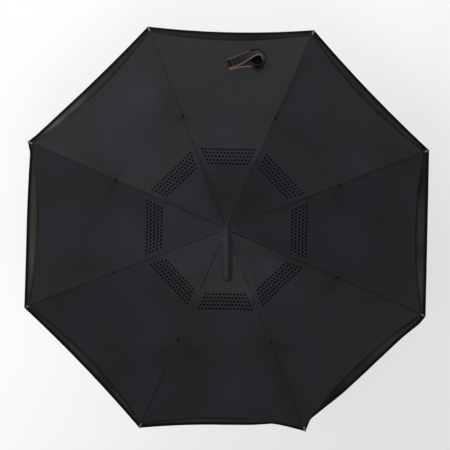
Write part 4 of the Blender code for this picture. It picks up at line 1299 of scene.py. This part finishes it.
def paper_floor():
    """White paper that the camera sees brightened, with painted shade towards the lower right, and that can't be
    seen from below.
    """
    made, tree, shader = material("floor_matt_white_paper", "#f4f4f4", Roughness=0.9)
    coords = add_node(tree, "TexCoord")
    # the brightening fades towards the lower right: painted shade of the light falling off across the floor
    towards = add_node(
        tree,
        "VectorMath",
        {0: coords.outputs["Object"], 1: (0.77, -0.63, 0.0)},
        operation="DOT_PRODUCT",
    )
    painted_falloff = add_node(
        tree,
        "MapRange",
        {"Value": towards.outputs["Value"], "From Min": -0.35, "From Max": 0.75,
         "To Min": 1.06, "To Max": 0.78},
        interpolation_type="SMOOTHSTEP",
    )
    emission = add_node(tree, "Emission", {"Strength": painted_falloff.outputs[0]})
    path = add_node(tree, "LightPath")
    share = add_node(
        tree, "Math", {0: path.outputs["Is Camera Ray"], 1: 0.7}, operation="MULTIPLY"
    )
    bright = add_node(tree, "MixShader", {0: share.outputs[0], 1: shader.outputs[0],
                                          2: emission.outputs[0]})
    geometry = add_node(tree, "NewGeometry")
    below = add_node(
        tree,
        "Math",
        {0: geometry.outputs["Backfacing"], 1: path.outputs["Is Camera Ray"]},
        operation="MULTIPLY",
    )
    clear = add_node(tree, "BsdfTransparent")
    seen = add_node(tree, "MixShader", {0: below.outputs[0], 1: bright.outputs[0],
                                        2: clear.outputs[0]})
    wire(tree, seen.outputs[0], tree.nodes["Material Output"].inputs["Surface"])
    return made


FLOOR_GAP = 0.0005
floor_mesh = bmesh.new()
bmesh.ops.create_grid(floor_mesh, x_segments=1, y_segments=1, size=40)
bmesh.ops.translate(floor_mesh, vec=(0, 0, cad_low.z - FLOOR_GAP), verts=floor_mesh.verts)
mesh = bpy.data.meshes.new("floor")
floor_mesh.to_mesh(mesh)
floor_mesh.free()
floor = bpy.data.objects.new("floor", mesh)
floor.data.materials.append(paper_floor())
bpy.context.scene.collection.objects.link(floor)
floor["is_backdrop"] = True

RIG_CENTRE = Vector((0, 0, 0.35))
LAMP_AWAY, LAMP_SIZE = 4.0, 2.2


def lamp(name, azimuth, elevation, power):
    """A white square area lamp that looks at the umbrella."""
    data = bpy.data.lights.new(name, "AREA")
    data.shape = "SQUARE"
    data.size = LAMP_SIZE
    data.energy = power
    obj = bpy.data.objects.new(name, data)
    a, e = math.radians(azimuth), math.radians(elevation)
    away = Vector((math.cos(a) * math.cos(e), math.sin(a) * math.cos(e), math.sin(e)))
    obj.location = RIG_CENTRE + away * LAMP_AWAY
    obj.rotation_euler = away.to_track_quat("Z", "Y").to_euler()
    bpy.context.scene.collection.objects.link(obj)


# for each height in degrees: watts of the eight lamps, anticlockwise from the right
LAMP_RINGS = {
    24: (11.5, 20.5, 42, 42.5, 17.5, 9.5, 8.5, 15.5),
    72: (0, 0, 0, 0, 0, 28.5, 52.5, 0),
}
for elevation, powers in LAMP_RINGS.items():
    for index, power in enumerate(powers):
        if power:
            lamp(f"soft_{elevation}_{index}", 45 * index, elevation, power)
print("lamps:", sum(power > 0 for powers in LAMP_RINGS.values() for power in powers))

# %% The sky
world = bpy.data.worlds.new("studio")
world.use_nodes = True
sky = world.node_tree.nodes["Background"]
sky.inputs["Color"].default_value = (1, 1, 1, 1)
sky.inputs["Strength"].default_value = 0.15
backdrop = add_node(world.node_tree, "Background", {"Strength": 0.92})
backdrop.inputs["Color"].default_value = (1, 1, 1, 1)
path = add_node(world.node_tree, "LightPath")
seen = add_node(
    world.node_tree,
    "MixShader",
    {0: path.outputs["Is Camera Ray"], 1: sky.outputs[0], 2: backdrop.outputs[0]},
)
wire(world.node_tree, seen.outputs[0], world.node_tree.nodes["World Output"].inputs["Surface"])
bpy.context.scene.world = world
bpy.context.scene.view_settings.view_transform = "Standard"
print("sky and floor are lit for the camera")

# %% Sizes and the end
low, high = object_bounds()
print("grown by", [round(max(a - b, c - d) * 1000, 2) for a, b, c, d in
                   zip(cad_low, low, high, cad_high)], "mm")
